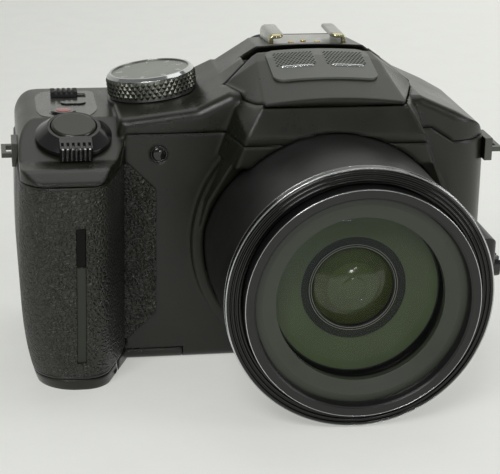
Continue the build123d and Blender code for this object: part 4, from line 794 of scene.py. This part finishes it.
@dataclass
class ModeDial:
    """The dial on the left shoulder: its knurl, bright bevel and plain numbers."""

    radius: float = 11.5
    height: float = 6.1
    bevel: float = 0.7
    bevel_lift: float = 0.05
    bevel_flat: float = 0.5
    bevel_skirt: float = 0.25
    bevel_thin: float = 0.1
    bevel_under: float = 0.3
    tilt: float = atan2(2.4, 19.6)
    studs: int = 46
    stud_rows: int = 4
    stud_rise: float = 1.02
    stud_first: float = 1.3
    stud_proud: float = 0.42
    numbers: int = 9
    number_size: float = 2.5
    number_thick: float = 0.02
    number_inset: float = 3.4
    number_sink: float = 0.24
    seat: tuple[float, float, float] = (-42.0, 24.0, 66.9)

    def stand(self) -> Matrix:
        """The dial's seat on its sloping deck."""
        normal = Vector((-sin(self.tilt), 0, cos(self.tilt)))
        return stand_at(spot(*self.seat), Vector((cos(self.tilt), 0, sin(self.tilt))), normal)

    def knurl(self, rings: RingTree) -> bpy.types.Object:
        """Cuts the diamond knurl of pointed studs.

        Args:
            rings: The tree that repeats them.

        Returns:
            The band of studs.
        """
        half = pi * self.radius / self.studs
        foot, tip = self.radius - self.bevel_lift, self.radius + self.stud_proud
        rise = self.stud_rise
        corners = [(foot, -half, 0), (foot, 0, -rise), (foot, half, 0), (foot, 0, rise), (tip, 0, 0)]
        stud = shape("dial_knurl", corners, [(0, 1, 4), (1, 2, 4), (2, 3, 4), (3, 0, 4), (3, 2, 1, 0)])
        stand = self.stand() @ Matrix.Translation((0, 0, self.stud_first))
        return rings.repeat(stud, stand, DIAL_CUT,
                            {"Count": self.studs, "Rows": self.stud_rows, "Rise": rise})

    def bright_bevel(self) -> bpy.types.Object:
        """The plated bevel round the dial's top.

        Returns:
            The bevel.
        """
        r, h, b = self.radius, self.height, self.bevel
        lift, flat, skirt = self.bevel_lift, self.bevel_flat, self.bevel_skirt
        thin, under = self.bevel_thin, self.bevel_under
        return lathe("dial_bevel", [
            (r + lift, h - b - skirt), (r + lift, h - b), (r - b, h + lift), (r - b - flat, h + lift),
            (r - b - flat, h - thin), (r - b, h - under), (r - under, h - b - skirt),
        ], self.stand())

    def number(self, value: int) -> bpy.types.Object:
        """Prints one plain number on the dial's face.

        Args:
            value: The number.

        Returns:
            The number as a thin mesh.
        """
        letters = bpy.data.curves.new(f"dial_number_{value}", "FONT")
        letters.body = str(value)
        letters.size = self.number_size
        letters.align_x = "CENTER"
        letters.align_y = "CENTER"
        letters.extrude = self.number_thick
        carrier = link(f"dial_number_{value}_text", letters)
        mesh = solved(carrier)
        bpy.data.objects.remove(carrier)
        turn = -2 * pi * (value - 1) / self.numbers
        mesh.transform(self.stand() @ Matrix.Rotation(turn, 4, "Z") @ Matrix.Translation(
            (0, self.radius - self.number_inset, self.height - self.number_sink)))
        return link(f"dial_number_{value}", mesh)

    def build(self, rings: RingTree) -> None:
        """Builds and dresses the dial's pieces.

        Args:
            rings: The tree that repeats the studs.
        """
        settle(self.knurl(rings), DIAL_CUT, "mode_dial")
        settle(self.bright_bevel(), CHROME, "mode_dial")
        for value in range(1, self.numbers + 1):
            settle(self.number(value), PRINT, "mode_dial")


@dataclass
class LensFront:
    """What shows through the front glass, and the thread in the rim."""

    cell_outer: float = 20.1
    groove_outer: float = 12.9
    ring_outer: float = 11.0
    ring_inner: float = 10.1
    front: float = 41.56
    groove_back: float = 39.1
    back: float = 38.66
    crown: float = 39.95
    glass_edge: float = 37.5
    # Radius and lift of each disc of painted glow at the lens's centre.
    pupils: tuple[tuple[float, float], ...] = ((6.4, 0.1), (3.4, 0.2))
    ring_ridges: tuple[tuple[float, float], ...] = ((29.2, 30.0), (30.2, 31.0), (31.2, 32.05))
    ring_face: float = 47.58
    retainer_edges: tuple[tuple[str, float], ...] = (
        ("retainer_edge_outer", 10.85), ("retainer_edge_inner", 10.35),
    )
    thread_bore: float = 25.95
    thread_depth: float = 0.22
    thread_pitch: float = 0.75
    thread_span: tuple[float, float] = (48.75, 51.0)
    edge_width: float = 0.16
    edge_ahead: float = 0.16
    step_in: float = 1.2
    step_width: float = 0.3
    step_rise: float = 0.1
    step_fall: float = 0.05
    groove_drops: tuple[float, float, float, float] = (0.2, 0.05, 0.6, 0.8)
    retainer_lifts: tuple[float, float, float, float] = (0.1, 0.2, 0.05, -0.1)
    retainer_inset: float = 0.2
    retainer_foot: float = 0.6
    ridge_gap: float = 0.06
    ridge_valley: float = 0.1
    ridge_rise: float = 0.34
    ridge_foot: float = 0.4
    ridge_margin: float = 0.05
    ridge_start: float = 29.0
    thread_wall: float = 0.3
    thread_root: float = 0.02
    cone_thick: float = 0.7
    dome_thick: float = 0.3
    dome_gap: float = 0.06
    bright_edges: tuple[tuple[str, str, float, float, float], ...] = (
        ("ring_edge_front", "casing", 32.24, 47.44, 0.42),
        ("ring_edge_rear", "casing", 32.36, 45.3, 0.2),
        ("lip_edge_front", "front_group", 28.18, 51.06, 0.22),
    )

    def stand(self) -> Matrix:
        """The optical axis, with local z towards the subject."""
        return stand_at(spot(0, 0, LENS_AXIS[1]), Vector((1, 0, 0)), Vector((0, -1, 0)))

    def shade(self) -> bpy.types.Object:
        """The lacquered cone behind the front glass, with one low step.

        Returns:
            The cone.
        """
        middle = (self.cell_outer + self.groove_outer) / 2 - self.step_in
        share = (self.cell_outer - middle) / (self.cell_outer - self.groove_outer)
        level = self.front + (self.groove_back - self.front) * share
        return lathe("lens_shade_cone", [
            (self.cell_outer, self.front), (middle + self.step_width, level + self.step_rise),
            (middle, level - self.step_fall),
            (self.groove_outer, self.groove_back), (self.groove_outer, self.groove_back - self.cone_thick),
            (self.cell_outer, self.front - self.cone_thick),
        ], self.stand(), 192)

    def groove(self) -> bpy.types.Object:
        """The groove outside the second lens's ring, dark with painted shade.

        Returns:
            The groove.
        """
        near, sunk, low, foot = self.groove_drops
        return lathe("lens_groove", [
            (self.groove_outer, self.groove_back - near), (self.ring_outer, self.back - sunk),
            (self.ring_outer, self.back - low), (self.groove_outer, self.groove_back - foot),
        ], self.stand())

    def retainer(self) -> bpy.types.Object:
        """The dark retainer round the second lens.

        Returns:
            The retainer.
        """
        r, q, h = self.ring_outer, self.ring_inner, self.back
        rim, crown, lip, edge = self.retainer_lifts
        inset, foot = self.retainer_inset, h - self.retainer_foot
        return lathe("lens_retainer", [
            (r, foot), (r, h + rim), (r - inset, h + crown), (q + inset, h + lip), (q, h + edge), (q, foot),
        ], self.stand())

    def dome(self, name: str, reach: float, lift: float) -> bpy.types.Object:
        """A domed surface inside the second lens's ring.

        Args:
            name: The piece's name.
            reach: Its radius in mm.
            lift: How far it stands over the second lens.

        Returns:
            The dome.
        """
        rim, sag, rings = self.ring_inner - self.dome_gap, self.crown - self.glass_edge, 16
        bend = (rim ** 2 + sag ** 2) / (2 * sag)
        profile = []
        for step in range(rings + 1):
            r = max(reach * (1 - step / rings), TINY)
            dome = self.crown - bend + (bend ** 2 - r ** 2) ** 0.5
            profile.append((r, dome + lift * (1 - (r / reach) ** 8)))
        foot = profile[0][1] - self.dome_thick
        profile += [(TINY, foot), (reach, foot)]
        return lathe(name, profile, self.stand())

    def ridges(self) -> bpy.types.Object:
        """The polished ridges on the barrel ring's face.

        Returns:
            The ridges.
        """
        profile = []
        for low, high in self.ring_ridges:
            half = (high - low) / 2
            profile.append((low - self.ridge_gap, self.ring_face - self.ridge_valley))
            for step in range(9):
                turn = pi * step / 8
                profile.append((low + half - half * cos(turn), self.ring_face + self.ridge_rise * sin(turn)))
        foot = self.ring_face - self.ridge_foot
        profile += [(self.ring_ridges[-1][1] + self.ridge_margin, foot), (self.ridge_start, foot)]
        return lathe("barrel_ring_ridges", profile, self.stand(), 192)

    def bright_edge(self, name: str, reach: float, ahead: float, width: float) -> bpy.types.Object:
        """A polished edge that catches the lamps.

        Args:
            name: The piece's name.
            reach: Its radius in mm.
            ahead: Its place along the optical axis in mm.
            width: How thick it is in mm.

        Returns:
            The thin ring.
        """
        half = width / 2
        section = [(reach + half * cos(pi * k / 4), ahead + half * sin(pi * k / 4)) for k in range(8)]
        return lathe(name, section, self.stand(), 160)

    def thread(self) -> bpy.types.Object:
        """The crests of the filter thread.

        Returns:
            The crests.
        """
        low, high = self.thread_span
        turns = int((high - low) / self.thread_pitch)
        profile = [(self.thread_bore, low)]
        for turn in range(turns):
            at = low + turn * self.thread_pitch
            profile += [(self.thread_bore - self.thread_depth, at + self.thread_pitch / 2),
                        (self.thread_bore - self.thread_root, at + self.thread_pitch)]
        wall = self.thread_bore + self.thread_wall
        profile += [(wall, low + turns * self.thread_pitch), (wall, low)]
        return lathe("filter_thread_crests", profile, self.stand())

    def build(self) -> None:
        """Builds and dresses the lens front's pieces."""
        settle(self.shade(), CELL_SHADE, "front_group")
        settle(self.retainer(), GROOVE_SHADE, "front_group")
        for name, reach in self.retainer_edges:
            edge = self.bright_edge(name, reach, self.back + self.edge_ahead, self.edge_width)
            settle(edge, CELL_RING, "front_group")
        settle(self.groove(), GROOVE_SHADE, "front_group")
        second = self.dome("second_lens", self.ring_inner - self.dome_gap, 0.0)
        settle(second, REAR_GLASS, "front_group")
        # The pupils are lighter discs that paint the glow at the middle of the lens.
        for number, (reach, lift) in enumerate(self.pupils, 1):
            settle(self.dome(f"lens_pupil_{number}", reach, lift), PUPIL_GLOW, "front_group")
        settle(self.ridges(), RING_BLACK, "casing")
        settle(self.thread(), TURNED_BLACK, "front_group")
        for name, body, reach, ahead, width in self.bright_edges:
            settle(self.bright_edge(name, reach, ahead, width), CHROME, body)


@dataclass
class FlashLid:
    """The two perforated grilles and their bright lips on the flash lid."""

    sections: tuple[tuple[float, float, float, float], ...] = (
        (-16.0, 18.6, 70.2, 1.5), (12.0, 16.2, 77.0, 1.0), (22.0, 14.5, 78.6, 0.6),
    )
    proud: float = 0.6
    panel_half: tuple[float, float] = (5.4, 4.6)
    panel_spots: tuple[tuple[float, float], ...] = ((-6.6, 10.6), (6.6, 10.6))
    hole: float = 0.3
    step: tuple[float, float] = (0.95, 0.82)
    columns: int = 11
    rows: int = 10
    lip: tuple[float, float, float] = (4.4, 0.35, 0.45)
    lip_steps: int = 16
    lip_end: float = 0.4
    lip_foot: float = 0.2
    lip_crown: tuple[tuple[float, float], ...] = ((0.6, 0.7), (0.0, 1.0), (-0.8, 0.6))
    corner_cut: float = 1.6
    corner_slope: float = 0.7
    panel_steps: int = 12
    panel_thick: float = 0.3
    panel_lift: float = 0.04
    hole_lift: float = 0.05
    hole_deep: float = 0.02

    def height(self, across: float, back: float) -> float:
        """The height of the lid's plate over the base.

        Args:
            across: Distance from the optical axis, in mm.
            back: Distance behind the front face, in mm.

        Returns:
            The height in mm.
        """
        low = self.sections[0] if back < self.sections[1][0] else self.sections[1]
        high = self.sections[1] if back < self.sections[1][0] else self.sections[2]
        share = (back - low[0]) / (high[0] - low[0])
        half, top, crown = (low[i] + (high[i] - low[i]) * share for i in (1, 2, 3))
        return top + crown * (1 - (across / half) ** 2) + self.proud

    def drape(self, piece: bpy.types.Object, middle: tuple[float, float], lift: float) -> bpy.types.Object:
        """Lays a flat piece, in mm round its own middle, on the lid's plate.

        Args:
            piece: The flat piece.
            middle: Where its middle goes, as across and back.
            lift: How far it stands over the plate.

        Returns:
            The piece, in place.
        """
        for corner in piece.data.vertices:
            across, back = middle[0] + corner.co.x, middle[1] + corner.co.y
            corner.co = spot(across, back, self.height(across, back) + lift + corner.co.z)
        return piece

    def panel(self, name: str, middle: tuple[float, float]) -> bpy.types.Object:
        """The etched sheet of one grille, with rounded corners.

        Args:
            name: The piece's name.
            middle: Where its middle goes.

        Returns:
            The sheet.
        """
        half_x, half_y = self.panel_half
        cut, count = self.corner_cut, self.panel_steps
        corners = []
        for j in range(count + 1):
            for i in range(count + 1):
                x = -half_x + 2 * half_x * i / count
                y = -half_y + 2 * half_y * j / count
                room = half_x - max(0.0, abs(y) - half_y + cut) * self.corner_slope
                corners.append((max(-room, min(room, x)), y, 0.0))
        corners += [(x, y, -self.panel_thick) for x, y, _ in corners]
        return self.drape(shape(name, corners, sheet_faces(count, count)), middle, self.panel_lift)

    def holes(self, name: str, middle: tuple[float, float], grid: GridTree) -> bpy.types.Object:
        """The holes of one grille.

        Args:
            name: The piece's name.
            middle: Where their middle goes.
            grid: The tree that repeats them.

        Returns:
            The dark holes.
        """
        ring = [(self.hole * cos(pi * k / 4), self.hole * sin(pi * k / 4)) for k in range(8)]
        corners = [(x, y, z) for z in (-self.hole_deep, self.hole_deep) for x, y in ring]
        hole = shape(name, corners, bar_faces(1, len(ring)))
        made = grid.repeat(hole, Matrix.Identity(4), DEEP, {
            "Columns": self.columns, "Rows": self.rows, "Step x": self.step[0], "Step y": self.step[1],
            "Stagger": 0.5,
        })
        made.data.transform(Matrix.Translation((-self.step[0] / 4, 0, 0)))
        return self.drape(made, middle, self.hole_lift)

    def bright_lip(self, name: str, middle: tuple[float, float]) -> bpy.types.Object:
        """The turned-up front edge of one grille.

        Args:
            name: The piece's name.
            middle: The grille's middle.

        Returns:
            The lip.
        """
        half, deep, tall = self.lip
        foot = -self.lip_foot
        section = [(-deep, foot), (deep, foot)]
        section += [(deep * x, tall * z) for x, z in self.lip_crown]
        count = self.lip_steps
        corners = []
        for i in range(count + 1):
            x = -half + 2 * half * i / count
            ease = 1.0 if 0 < i < count else self.lip_end
            corners += [(x, y * ease, z * ease) for y, z in section]
        faces = bar_faces(count, len(section))
        front = (middle[0], middle[1] - self.panel_half[1] - deep / 2)
        return self.drape(shape(name, corners, faces, True), front, 0.0)

    def build(self, grid: GridTree) -> None:
        """Builds and dresses the grilles.

        Args:
            grid: The tree that repeats the holes.
        """
        for side, middle in zip(("left", "right"), self.panel_spots):
            settle(self.panel(f"grille_sheet_{side}", middle), MESH, "flash")
            settle(self.holes(f"grille_holes_{side}", middle, grid), DEEP, "flash")
            settle(self.bright_lip(f"grille_lip_{side}", middle), CHROME, "flash")


@dataclass
class ShutterGroup:
    """The ribs of the zoom lever's nub and the dot on the record button."""

    tilt: float = atan2(6.0, 19.5)
    ribs: int = 7
    rib_step: float = 1.1
    rib_half: float = 0.3
    nub_front: float = 11.9
    rib_proud: float = 0.3
    rib_span: tuple[float, float] = (0.6, 4.0)
    dot: float = 2.0
    dot_proud: float = 0.12
    deck: float = 63.6
    deck_lift: float = 0.12
    deck_corners: tuple[tuple[float, float], ...] = (
        (-71.5, 11.2), (-59.5, 11.2), (-57.0, 18.0), (-57.0, 38.6), (-71.0, 38.6),
        (-72.9, 33.0), (-72.9, 17.0),
    )
    deck_openings: tuple[tuple[float, float, float, float, float], ...] = (
        (-66.0, 15.6, 3.3, 3.3, 1.0), (-63.0, 25.0, 3.45, 1.95, 0.7), (-63.0, 33.2, 3.9, 2.7, 0.3),
    )
    deck_rim: float = 0.35
    deck_round: float = 2.4
    seat: tuple[float, float, float] = (-64.3, 0.9, 61.0)

    def stand(self) -> Matrix:
        """The lever's seat on the sloping top of the grip."""
        normal = Vector((0, -sin(self.tilt), cos(self.tilt)))
        return stand_at(spot(*self.seat), Vector((1, 0, 0)), normal)

    def nub_ribs(self, grid: GridTree) -> bpy.types.Object:
        """The bright upright ribs on the nub.

        Args:
            grid: The tree that repeats them.

        Returns:
            The row of ribs.
        """
        back, front = 0.3, -self.rib_proud
        low, high = self.rib_span
        half = self.rib_half
        section = [(-half, back), (half, back), (half, front / 2), (half / 2, front), (-half / 2, front),
                   (-half, front / 2)]
        corners = [(x, y, z) for z in (low, high) for x, y in section]
        rib = shape("nub_ribs", corners, bar_faces(1, len(section)))
        stand = self.stand() @ Matrix.Translation((0, -self.nub_front, 0))
        return grid.repeat(rib, stand, CHROME, {
            "Columns": self.ribs, "Rows": 1, "Step x": self.rib_step, "Step y": 1.0, "Stagger": 0.0,
        })

    def deck_plate(self) -> bpy.types.Object:
        """The satin plate that the small controls stand in.

        Returns:
            The plate.
        """
        rings = [rounded(list(self.deck_corners), self.deck_round)]
        rings += [oval((x, y), (a, b), power) for x, y, a, b, power in self.deck_openings]
        stand = stand_at(spot(0, 0, self.deck), Vector((1, 0, 0)), Vector((0, 0, 1)))
        return cut_plate("deck_plate", rings, 2 * self.deck_lift, stand)

    def button_rims(self) -> bpy.types.Object:
        """The dark rim round the record button.

        Returns:
            The rim.
        """
        stand = stand_at(spot(0, 0, self.deck), Vector((1, 0, 0)), Vector((0, 0, 1)))
        x, y, a, b, power = self.deck_openings[0]
        rings = [oval((x, y), (a + self.deck_rim, b + self.deck_rim), power), oval((x, y), (a, b), power)]
        return cut_plate("record_rim", rings, 4 * self.deck_lift, stand)

    def record_dot(self) -> bpy.types.Object:
        """The red dot let into the record button.

        Returns:
            The dot.
        """
        low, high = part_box("record_button")
        middle = Vector(((low.x + high.x) / 2, (low.y + high.y) / 2, high.z))
        stand = stand_at(middle, Vector((1, 0, 0)), Vector((0, 0, 1)))
        top = self.dot_proud
        return lathe("record_dot", [
            (TINY, -0.2), (self.dot, -0.2), (self.dot, top / 2), (self.dot * 0.8, top), (TINY, top),
        ], stand, 48)

    def build(self, grid: GridTree) -> None:
        """Builds and dresses the group's small pieces.

        Args:
            grid: The tree that repeats the ribs.
        """
        settle(self.nub_ribs(grid), CHROME, "zoom_lever")
        settle(self.record_dot(), RED, "record_button")
        # The deck plate's paleness is partly painted reflection.
        settle(self.deck_plate(), DECK_PLATE, "casing")
        settle(self.button_rims(), GLOSS, "casing")


@dataclass
class AccessoryShoe:
    """The formed steel shoe: a bed and two rails with rolled lips."""

    seat: float = 76.2
    bed: float = 77.8
    outer: float = 10.4
    inner: float = 9.3
    mouth: float = 6.3
    under: float = 79.9
    top: float = 81.1
    span: tuple[float, float] = (26.6, 41.7)
    roll: float = 1.3
    nose: float = 2.2
    nose_share: float = 0.62
    nose_drop: float = 0.7
    bed_overlap: float = 0.05
    bed_round: float = 0.6
    stations: int = 26
    tip: float = 0.9

    def section(self, back: float, grown: float) -> list[tuple[float, float]]:
        """The section of one rail.

        Args:
            back: How far behind the front face it is cut.
            grown: How far it stands proud all round.

        Returns:
            The section as across and up, in mm.
        """
        into = min(1.0, max(0.0, min(back - self.span[0], self.span[1] - back) / self.nose))
        full = (1 - (1 - into) ** 2) ** 0.5
        reach = self.outer - (self.outer - self.mouth) * (self.nose_share + (1 - self.nose_share) * full)
        top = self.top - self.nose_drop * (1 - full) + grown
        side = self.outer + grown
        line = [(self.inner, self.seat), (side, self.seat)]
        for step in range(7):
            turn = pi / 2 * step / 6
            line.append((side - self.roll * (1 - cos(turn)), top - self.roll * (1 - sin(turn))))
        edge = (top - self.under) / 2
        for step in range(7):
            turn = pi / 2 + pi * step / 6
            line.append((reach + edge + edge * cos(turn), self.under + edge + edge * sin(turn)))
        line.append((self.inner, self.under))
        return line

    def rail(self, name: str, turn: int, span: tuple[float, float], grown: float) -> bpy.types.Object:
        """One rail, or a stretch of it.

        Args:
            name: The piece's name.
            turn: 1 on the right, -1 on the left.
            span: Where it starts and ends behind the front face.
            grown: How far it stands proud all round.

        Returns:
            The rail.
        """
        corners = []
        for i in range(self.stations + 1):
            share = i / self.stations
            back = span[0] + (span[1] - span[0]) * (share * share * (3 - 2 * share))
            corners += [spot(turn * x, back, z) for x, z in self.section(back, grown)]
        faces = bar_faces(self.stations, len(corners) // (self.stations + 1))
        piece = shape(name, corners, faces, True)
        piece.data.set_sharp_from_angle(angle=radians(40))
        return piece

    def bed_plate(self) -> bpy.types.Object:
        """The flat bed between the rails.

        Returns:
            The bed.
        """
        middle = (self.seat + self.bed) / 2
        stand = stand_at(spot(0, 0, middle), Vector((1, 0, 0)), Vector((0, 0, 1)))
        low, high = self.span
        half = self.inner + self.bed_overlap
        outline = rounded([(-half, low), (half, low), (half, high), (-half, high)], self.bed_round)
        return cut_plate("shoe_bed", [outline], self.bed - self.seat, stand)

    def build(self) -> None:
        """Builds the shoe in place of its plain solid."""
        low, high = self.span
        for side, turn in (("left", -1), ("right", 1)):
            rail = settle(self.rail(f"shoe_rail_{side}", turn, self.span, 0.0), STEEL, "casing")
            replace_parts(rail, "hot_shoe")
            # A paler cap on each rail's front end paints its highlight.
            reach = (low - self.bed_overlap, low + self.tip)
            tip = self.rail(f"shoe_tip_{side}", turn, reach, self.bed_overlap)
            settle(tip, RAIL_TIP_SHINE, "casing")
        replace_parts(settle(self.bed_plate(), STEEL, "casing"), "hot_shoe")


@dataclass
class GripStrip:
    """The smooth strip down the grip and the dark window at its head."""

    across: tuple[float, float] = (-65.32, -63.08)
    window: tuple[float, float] = (34.8, 44.5)
    strip: tuple[float, float] = (8.2, 34.4)
    columns: int = 4
    rows: int = 40
    lift: float = 0.05
    window_lift: float = 0.6
    sink: float = 0.1
    ahead: float = -60.0

    def lay(self, name: str, up: tuple[float, float], lift: float) -> bpy.types.Object:
        """Lays a thin sheet on the grip, as far as the front can be seen.

        Args:
            name: The piece's name.
            up: Its lowest and highest point over the base, in mm.
            lift: How far it stands over what it lies on, in mm.

        Returns:
            The sheet.
        """
        carriers = [bpy.data.objects[n] for n in ("grip_rubber", "front_cover", "top_cover")]
        points = []
        for j in range(self.rows + 1):
            for i in range(self.columns + 1):
                u = self.across[0] + (self.across[1] - self.across[0]) * i / self.columns
                z = up[0] + (up[1] - up[0]) * j / self.rows
                start = spot(u, self.ahead, z)
                hits = [carrier.ray_cast(start, Vector((0, 1, 0))) for carrier in carriers]
                points.append(min((hit[1] for hit in hits if hit[0]), key=lambda place: place.y))
        corners = [place + Vector((0, -lift * MM, 0)) for place in points]
        corners += [place + Vector((0, self.sink * MM, 0)) for place in points]
        return shape(name, corners, sheet_faces(self.columns, self.rows))

    def build(self) -> None:
        """Builds and dresses the strip."""
        settle(self.lay("grip_window", self.window, self.window_lift), WINDOW_BLACK, "casing")
        settle(self.lay("grip_strip", self.strip, self.lift), STRIP_SKIN, "casing")


@dataclass
class FocusLamp:
    """The domed lamp window beside the grip."""

    middle: tuple[float, float] = (-42.8, 56.2)
    reach: float = 1.75
    rim: float = 2.15
    rise: float = 0.45
    sink: float = 0.3
    rim_low: float = 0.05
    rim_crown: float = 0.12
    rim_inset: float = 0.1
    rim_edge: float = 0.04

    def build(self) -> None:
        """Builds the dome and its rim."""
        stand = stand_at(spot(self.middle[0], 0, self.middle[1]), Vector((1, 0, 0)), Vector((0, -1, 0)))
        foot = -self.sink
        dome = [(self.reach, foot)]
        for step in range(9):
            turn = pi / 2 * step / 8
            dome.append((max(self.reach * cos(turn), TINY), self.rise * sin(turn)))
        dome.append((TINY, foot))
        settle(lathe("lamp_dome", dome, stand, 48), LAMP, "casing")
        crown = self.rim_crown
        rim = [(self.reach, foot), (self.reach, self.rim_low), (self.reach + crown, crown),
               (self.rim - self.rim_inset, crown), (self.rim, self.rim_edge), (self.rim, foot)]
        settle(lathe("lamp_rim", rim, stand, 48), GLOSS, "casing")


@dataclass
class Studio:
    """The floor, the lamps and the camera."""

    eye: tuple[float, float, float] = (-72.53, -423.26, 171.86)
    yaw: float = 0.1647
    pitch: float = 0.3247
    roll: float = 0.0197
    focal_px: float = 1669.25
    frame_px: float = 500.0
    sensor: float = 36.0
    white_share: tuple[float, float] = (0.18, 0.8)
    room_light: float = 0.27
    lamps: tuple[tuple, ...] = (
        ("key_lamp", (-0.35, -0.75, 0.75), 0.03, (0.45, 0.35), 5.6),
        ("top_lamp", (0.15, 0.25, 0.95), 0.05, (0.9, 0.5), 1.8),
        ("side_lamp", (0.85, -0.45, 0.35), 0.04, (0.3, 0.5), 2.2),
        ("catch_lamp_wide", (0.14, -0.98, 0.12), 0.03, (0.07, 0.03), 0.25),
        ("catch_lamp_small", (0.24, -0.95, 0.2), 0.03, (0.03, 0.03), 0.08),
    )

    def floor(self) -> None:
        """Lays a pale sheet, in metres, that curves up behind the camera."""
        half, front, bend, curl, rise = 1.4, -1.2, 0.5, 0.35, 1.4
        line = [(front, 0.0), (0.0, 0.0)]
        for step in range(25):
            turn = pi / 2 * step / 24
            line.append((bend + curl * sin(turn), curl * (1 - cos(turn))))
        line.append((bend + curl, rise))
        corners = [(x, y, z) for y, z in line for x in (-half, half)]
        faces = [(2 * i, 2 * i + 1, 2 * i + 3, 2 * i + 2) for i in range(len(line) - 1)]
        sheet = shape("studio_floor", corners, faces, True)
        # Even white that carries the soft shadow.
        paper = Finish("matt_backdrop_paper", "#e9eae6", "#e2e3df", (0.85, 0.05), Pattern.MOULDED,
                       grain=2.0, relief=0.01, edge=0.01)
        made = paper.material()
        self.brighten(made)
        sheet.data.materials.append(made)

    def brighten(self, made: bpy.types.Material) -> None:
        """Paints light onto the paper: a white glow where the camera, metal or glass sees it, stronger on the
        right.

        Args:
            made: The paper's material.
        """
        tree = made.node_tree
        out = next(node for node in tree.nodes if node.type == "OUTPUT_MATERIAL")
        plain = out.inputs["Surface"].links[0].from_socket
        path = add_node(tree, "ShaderNodeLightPath").outputs
        seen = add_node(tree, "ShaderNodeMath", {"operation": "MAXIMUM"}, {
            0: path["Is Camera Ray"],
            1: add_node(tree, "ShaderNodeMath", {"operation": "MAXIMUM"}, {
                0: path["Is Glossy Ray"], 1: path["Is Transmission Ray"],
            }).outputs["Value"],
        }).outputs["Value"]
        place = add_node(tree, "ShaderNodeSeparateXYZ", inputs={
            "Vector": add_node(tree, "ShaderNodeTexCoord").outputs["Object"],
        }).outputs["X"]
        share = add_node(tree, "ShaderNodeMapRange", inputs={
            "Value": place, "From Min": -0.2, "From Max": 0.35,
            "To Min": self.white_share[0], "To Max": self.white_share[1],
        }).outputs["Result"]
        glow = add_node(tree, "ShaderNodeEmission", inputs={"Color": linear("#fbfcf6"), "Strength": 1.0})
        lift = add_node(tree, "ShaderNodeMath", {"operation": "MULTIPLY"}, {0: seen, 1: share})
        mixed = add_node(tree, "ShaderNodeMixShader", inputs={
            0: lift.outputs["Value"], 1: plain, 2: glow.outputs["Emission"],
        })
        tree.links.new(mixed.outputs["Shader"], out.inputs["Surface"])

    def lamp(self, name: str, place: tuple[float, float, float], aim: tuple[float, float, float],
             size: tuple[float, float], power: float) -> None:
        """Hangs one soft lamp.

        Args:
            name: The lamp's name.
            place: Where it hangs, in metres.
            aim: What it points at, in metres.
            size: Width and height in metres.
            power: Its power in watts.
        """
        data = bpy.data.lights.new(name, "AREA")
        data.shape = "RECTANGLE"
        data.size, data.size_y = size
        data.energy = power
        hung = link(name, data)
        hung.location = place
        hung.rotation_euler = (Vector(aim) - Vector(place)).to_track_quat("-Z", "Y").to_euler()

    def camera(self) -> None:
        """Stands the camera at the photograph's viewing angle."""
        ahead = Vector((sin(self.yaw) * cos(self.pitch), cos(self.yaw) * cos(self.pitch), -sin(self.pitch)))
        level = Vector((cos(self.yaw), -sin(self.yaw), 0))
        above = level.cross(ahead)
        right = cos(self.roll) * level + sin(self.roll) * above
        top = right.cross(ahead)
        data = bpy.data.cameras.new("view")
        data.sensor_fit = "HORIZONTAL"
        data.sensor_width = self.sensor
        data.lens = self.focal_px / self.frame_px * self.sensor
        data.clip_start = 0.01
        eye = link("view", data)
        turned = Matrix((right, top, -ahead)).transposed().to_4x4()
        eye.matrix_world = Matrix.Translation(Vector(self.eye) * MM) @ turned
        bpy.context.scene.camera = eye

    def room(self) -> None:
        """Lights the room evenly, and shows it pale beyond the paper."""
        world = bpy.data.worlds.new("room")
        world.use_nodes = True
        tree = world.node_tree
        tree.nodes.clear()
        even = add_node(tree, "ShaderNodeBackground", inputs={
            "Color": linear("#e6e8e6"), "Strength": self.room_light,
        })
        pale = add_node(tree, "ShaderNodeBackground", inputs={"Color": linear("#dfe1dc"), "Strength": 1.0})
        mixed = add_node(tree, "ShaderNodeMixShader", inputs={
            0: add_node(tree, "ShaderNodeLightPath").outputs["Is Camera Ray"],
            1: even.outputs["Background"], 2: pale.outputs["Background"],
        })
        add_node(tree, "ShaderNodeOutputWorld", inputs={"Surface": mixed.outputs["Shader"]})
        bpy.context.scene.world = world

    def build(self) -> None:
        """Sets the whole studio."""
        self.floor()
        self.camera()
        for name, place, height, size, power in self.lamps:
            self.lamp(name, place, (0, 0, height), size, power)
        self.room()
        bpy.context.scene.view_settings.view_transform = "Standard"


def dress_solids(nodes: dict[str, bpy.types.Object]) -> None:
    """Gives every CAD node its finish.

    Args:
        nodes: The CAD nodes by name.
    """
    for name, node in nodes.items():
        material = DRESS[name].material()
        if not node.material_slots:
            node.data.materials.append(material)
        for held in node.material_slots:
            held.material = material


def main() -> None:
    """Loads the frame and dresses it, one sub-assembly after another."""
    logging.basicConfig(level=logging.INFO, format="%(message)s")
    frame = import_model()
    dress_solids(frame["nodes"])
    rings = RingTree()
    grid = GridTree()
    ModeDial().build(rings)
    ShutterGroup().build(grid)
    FlashLid().build(grid)
    AccessoryShoe().build()
    FocusLamp().build()
    GripStrip().build()
    LensFront().build()
    Studio().build()


if __name__ == "__main__":
    main()
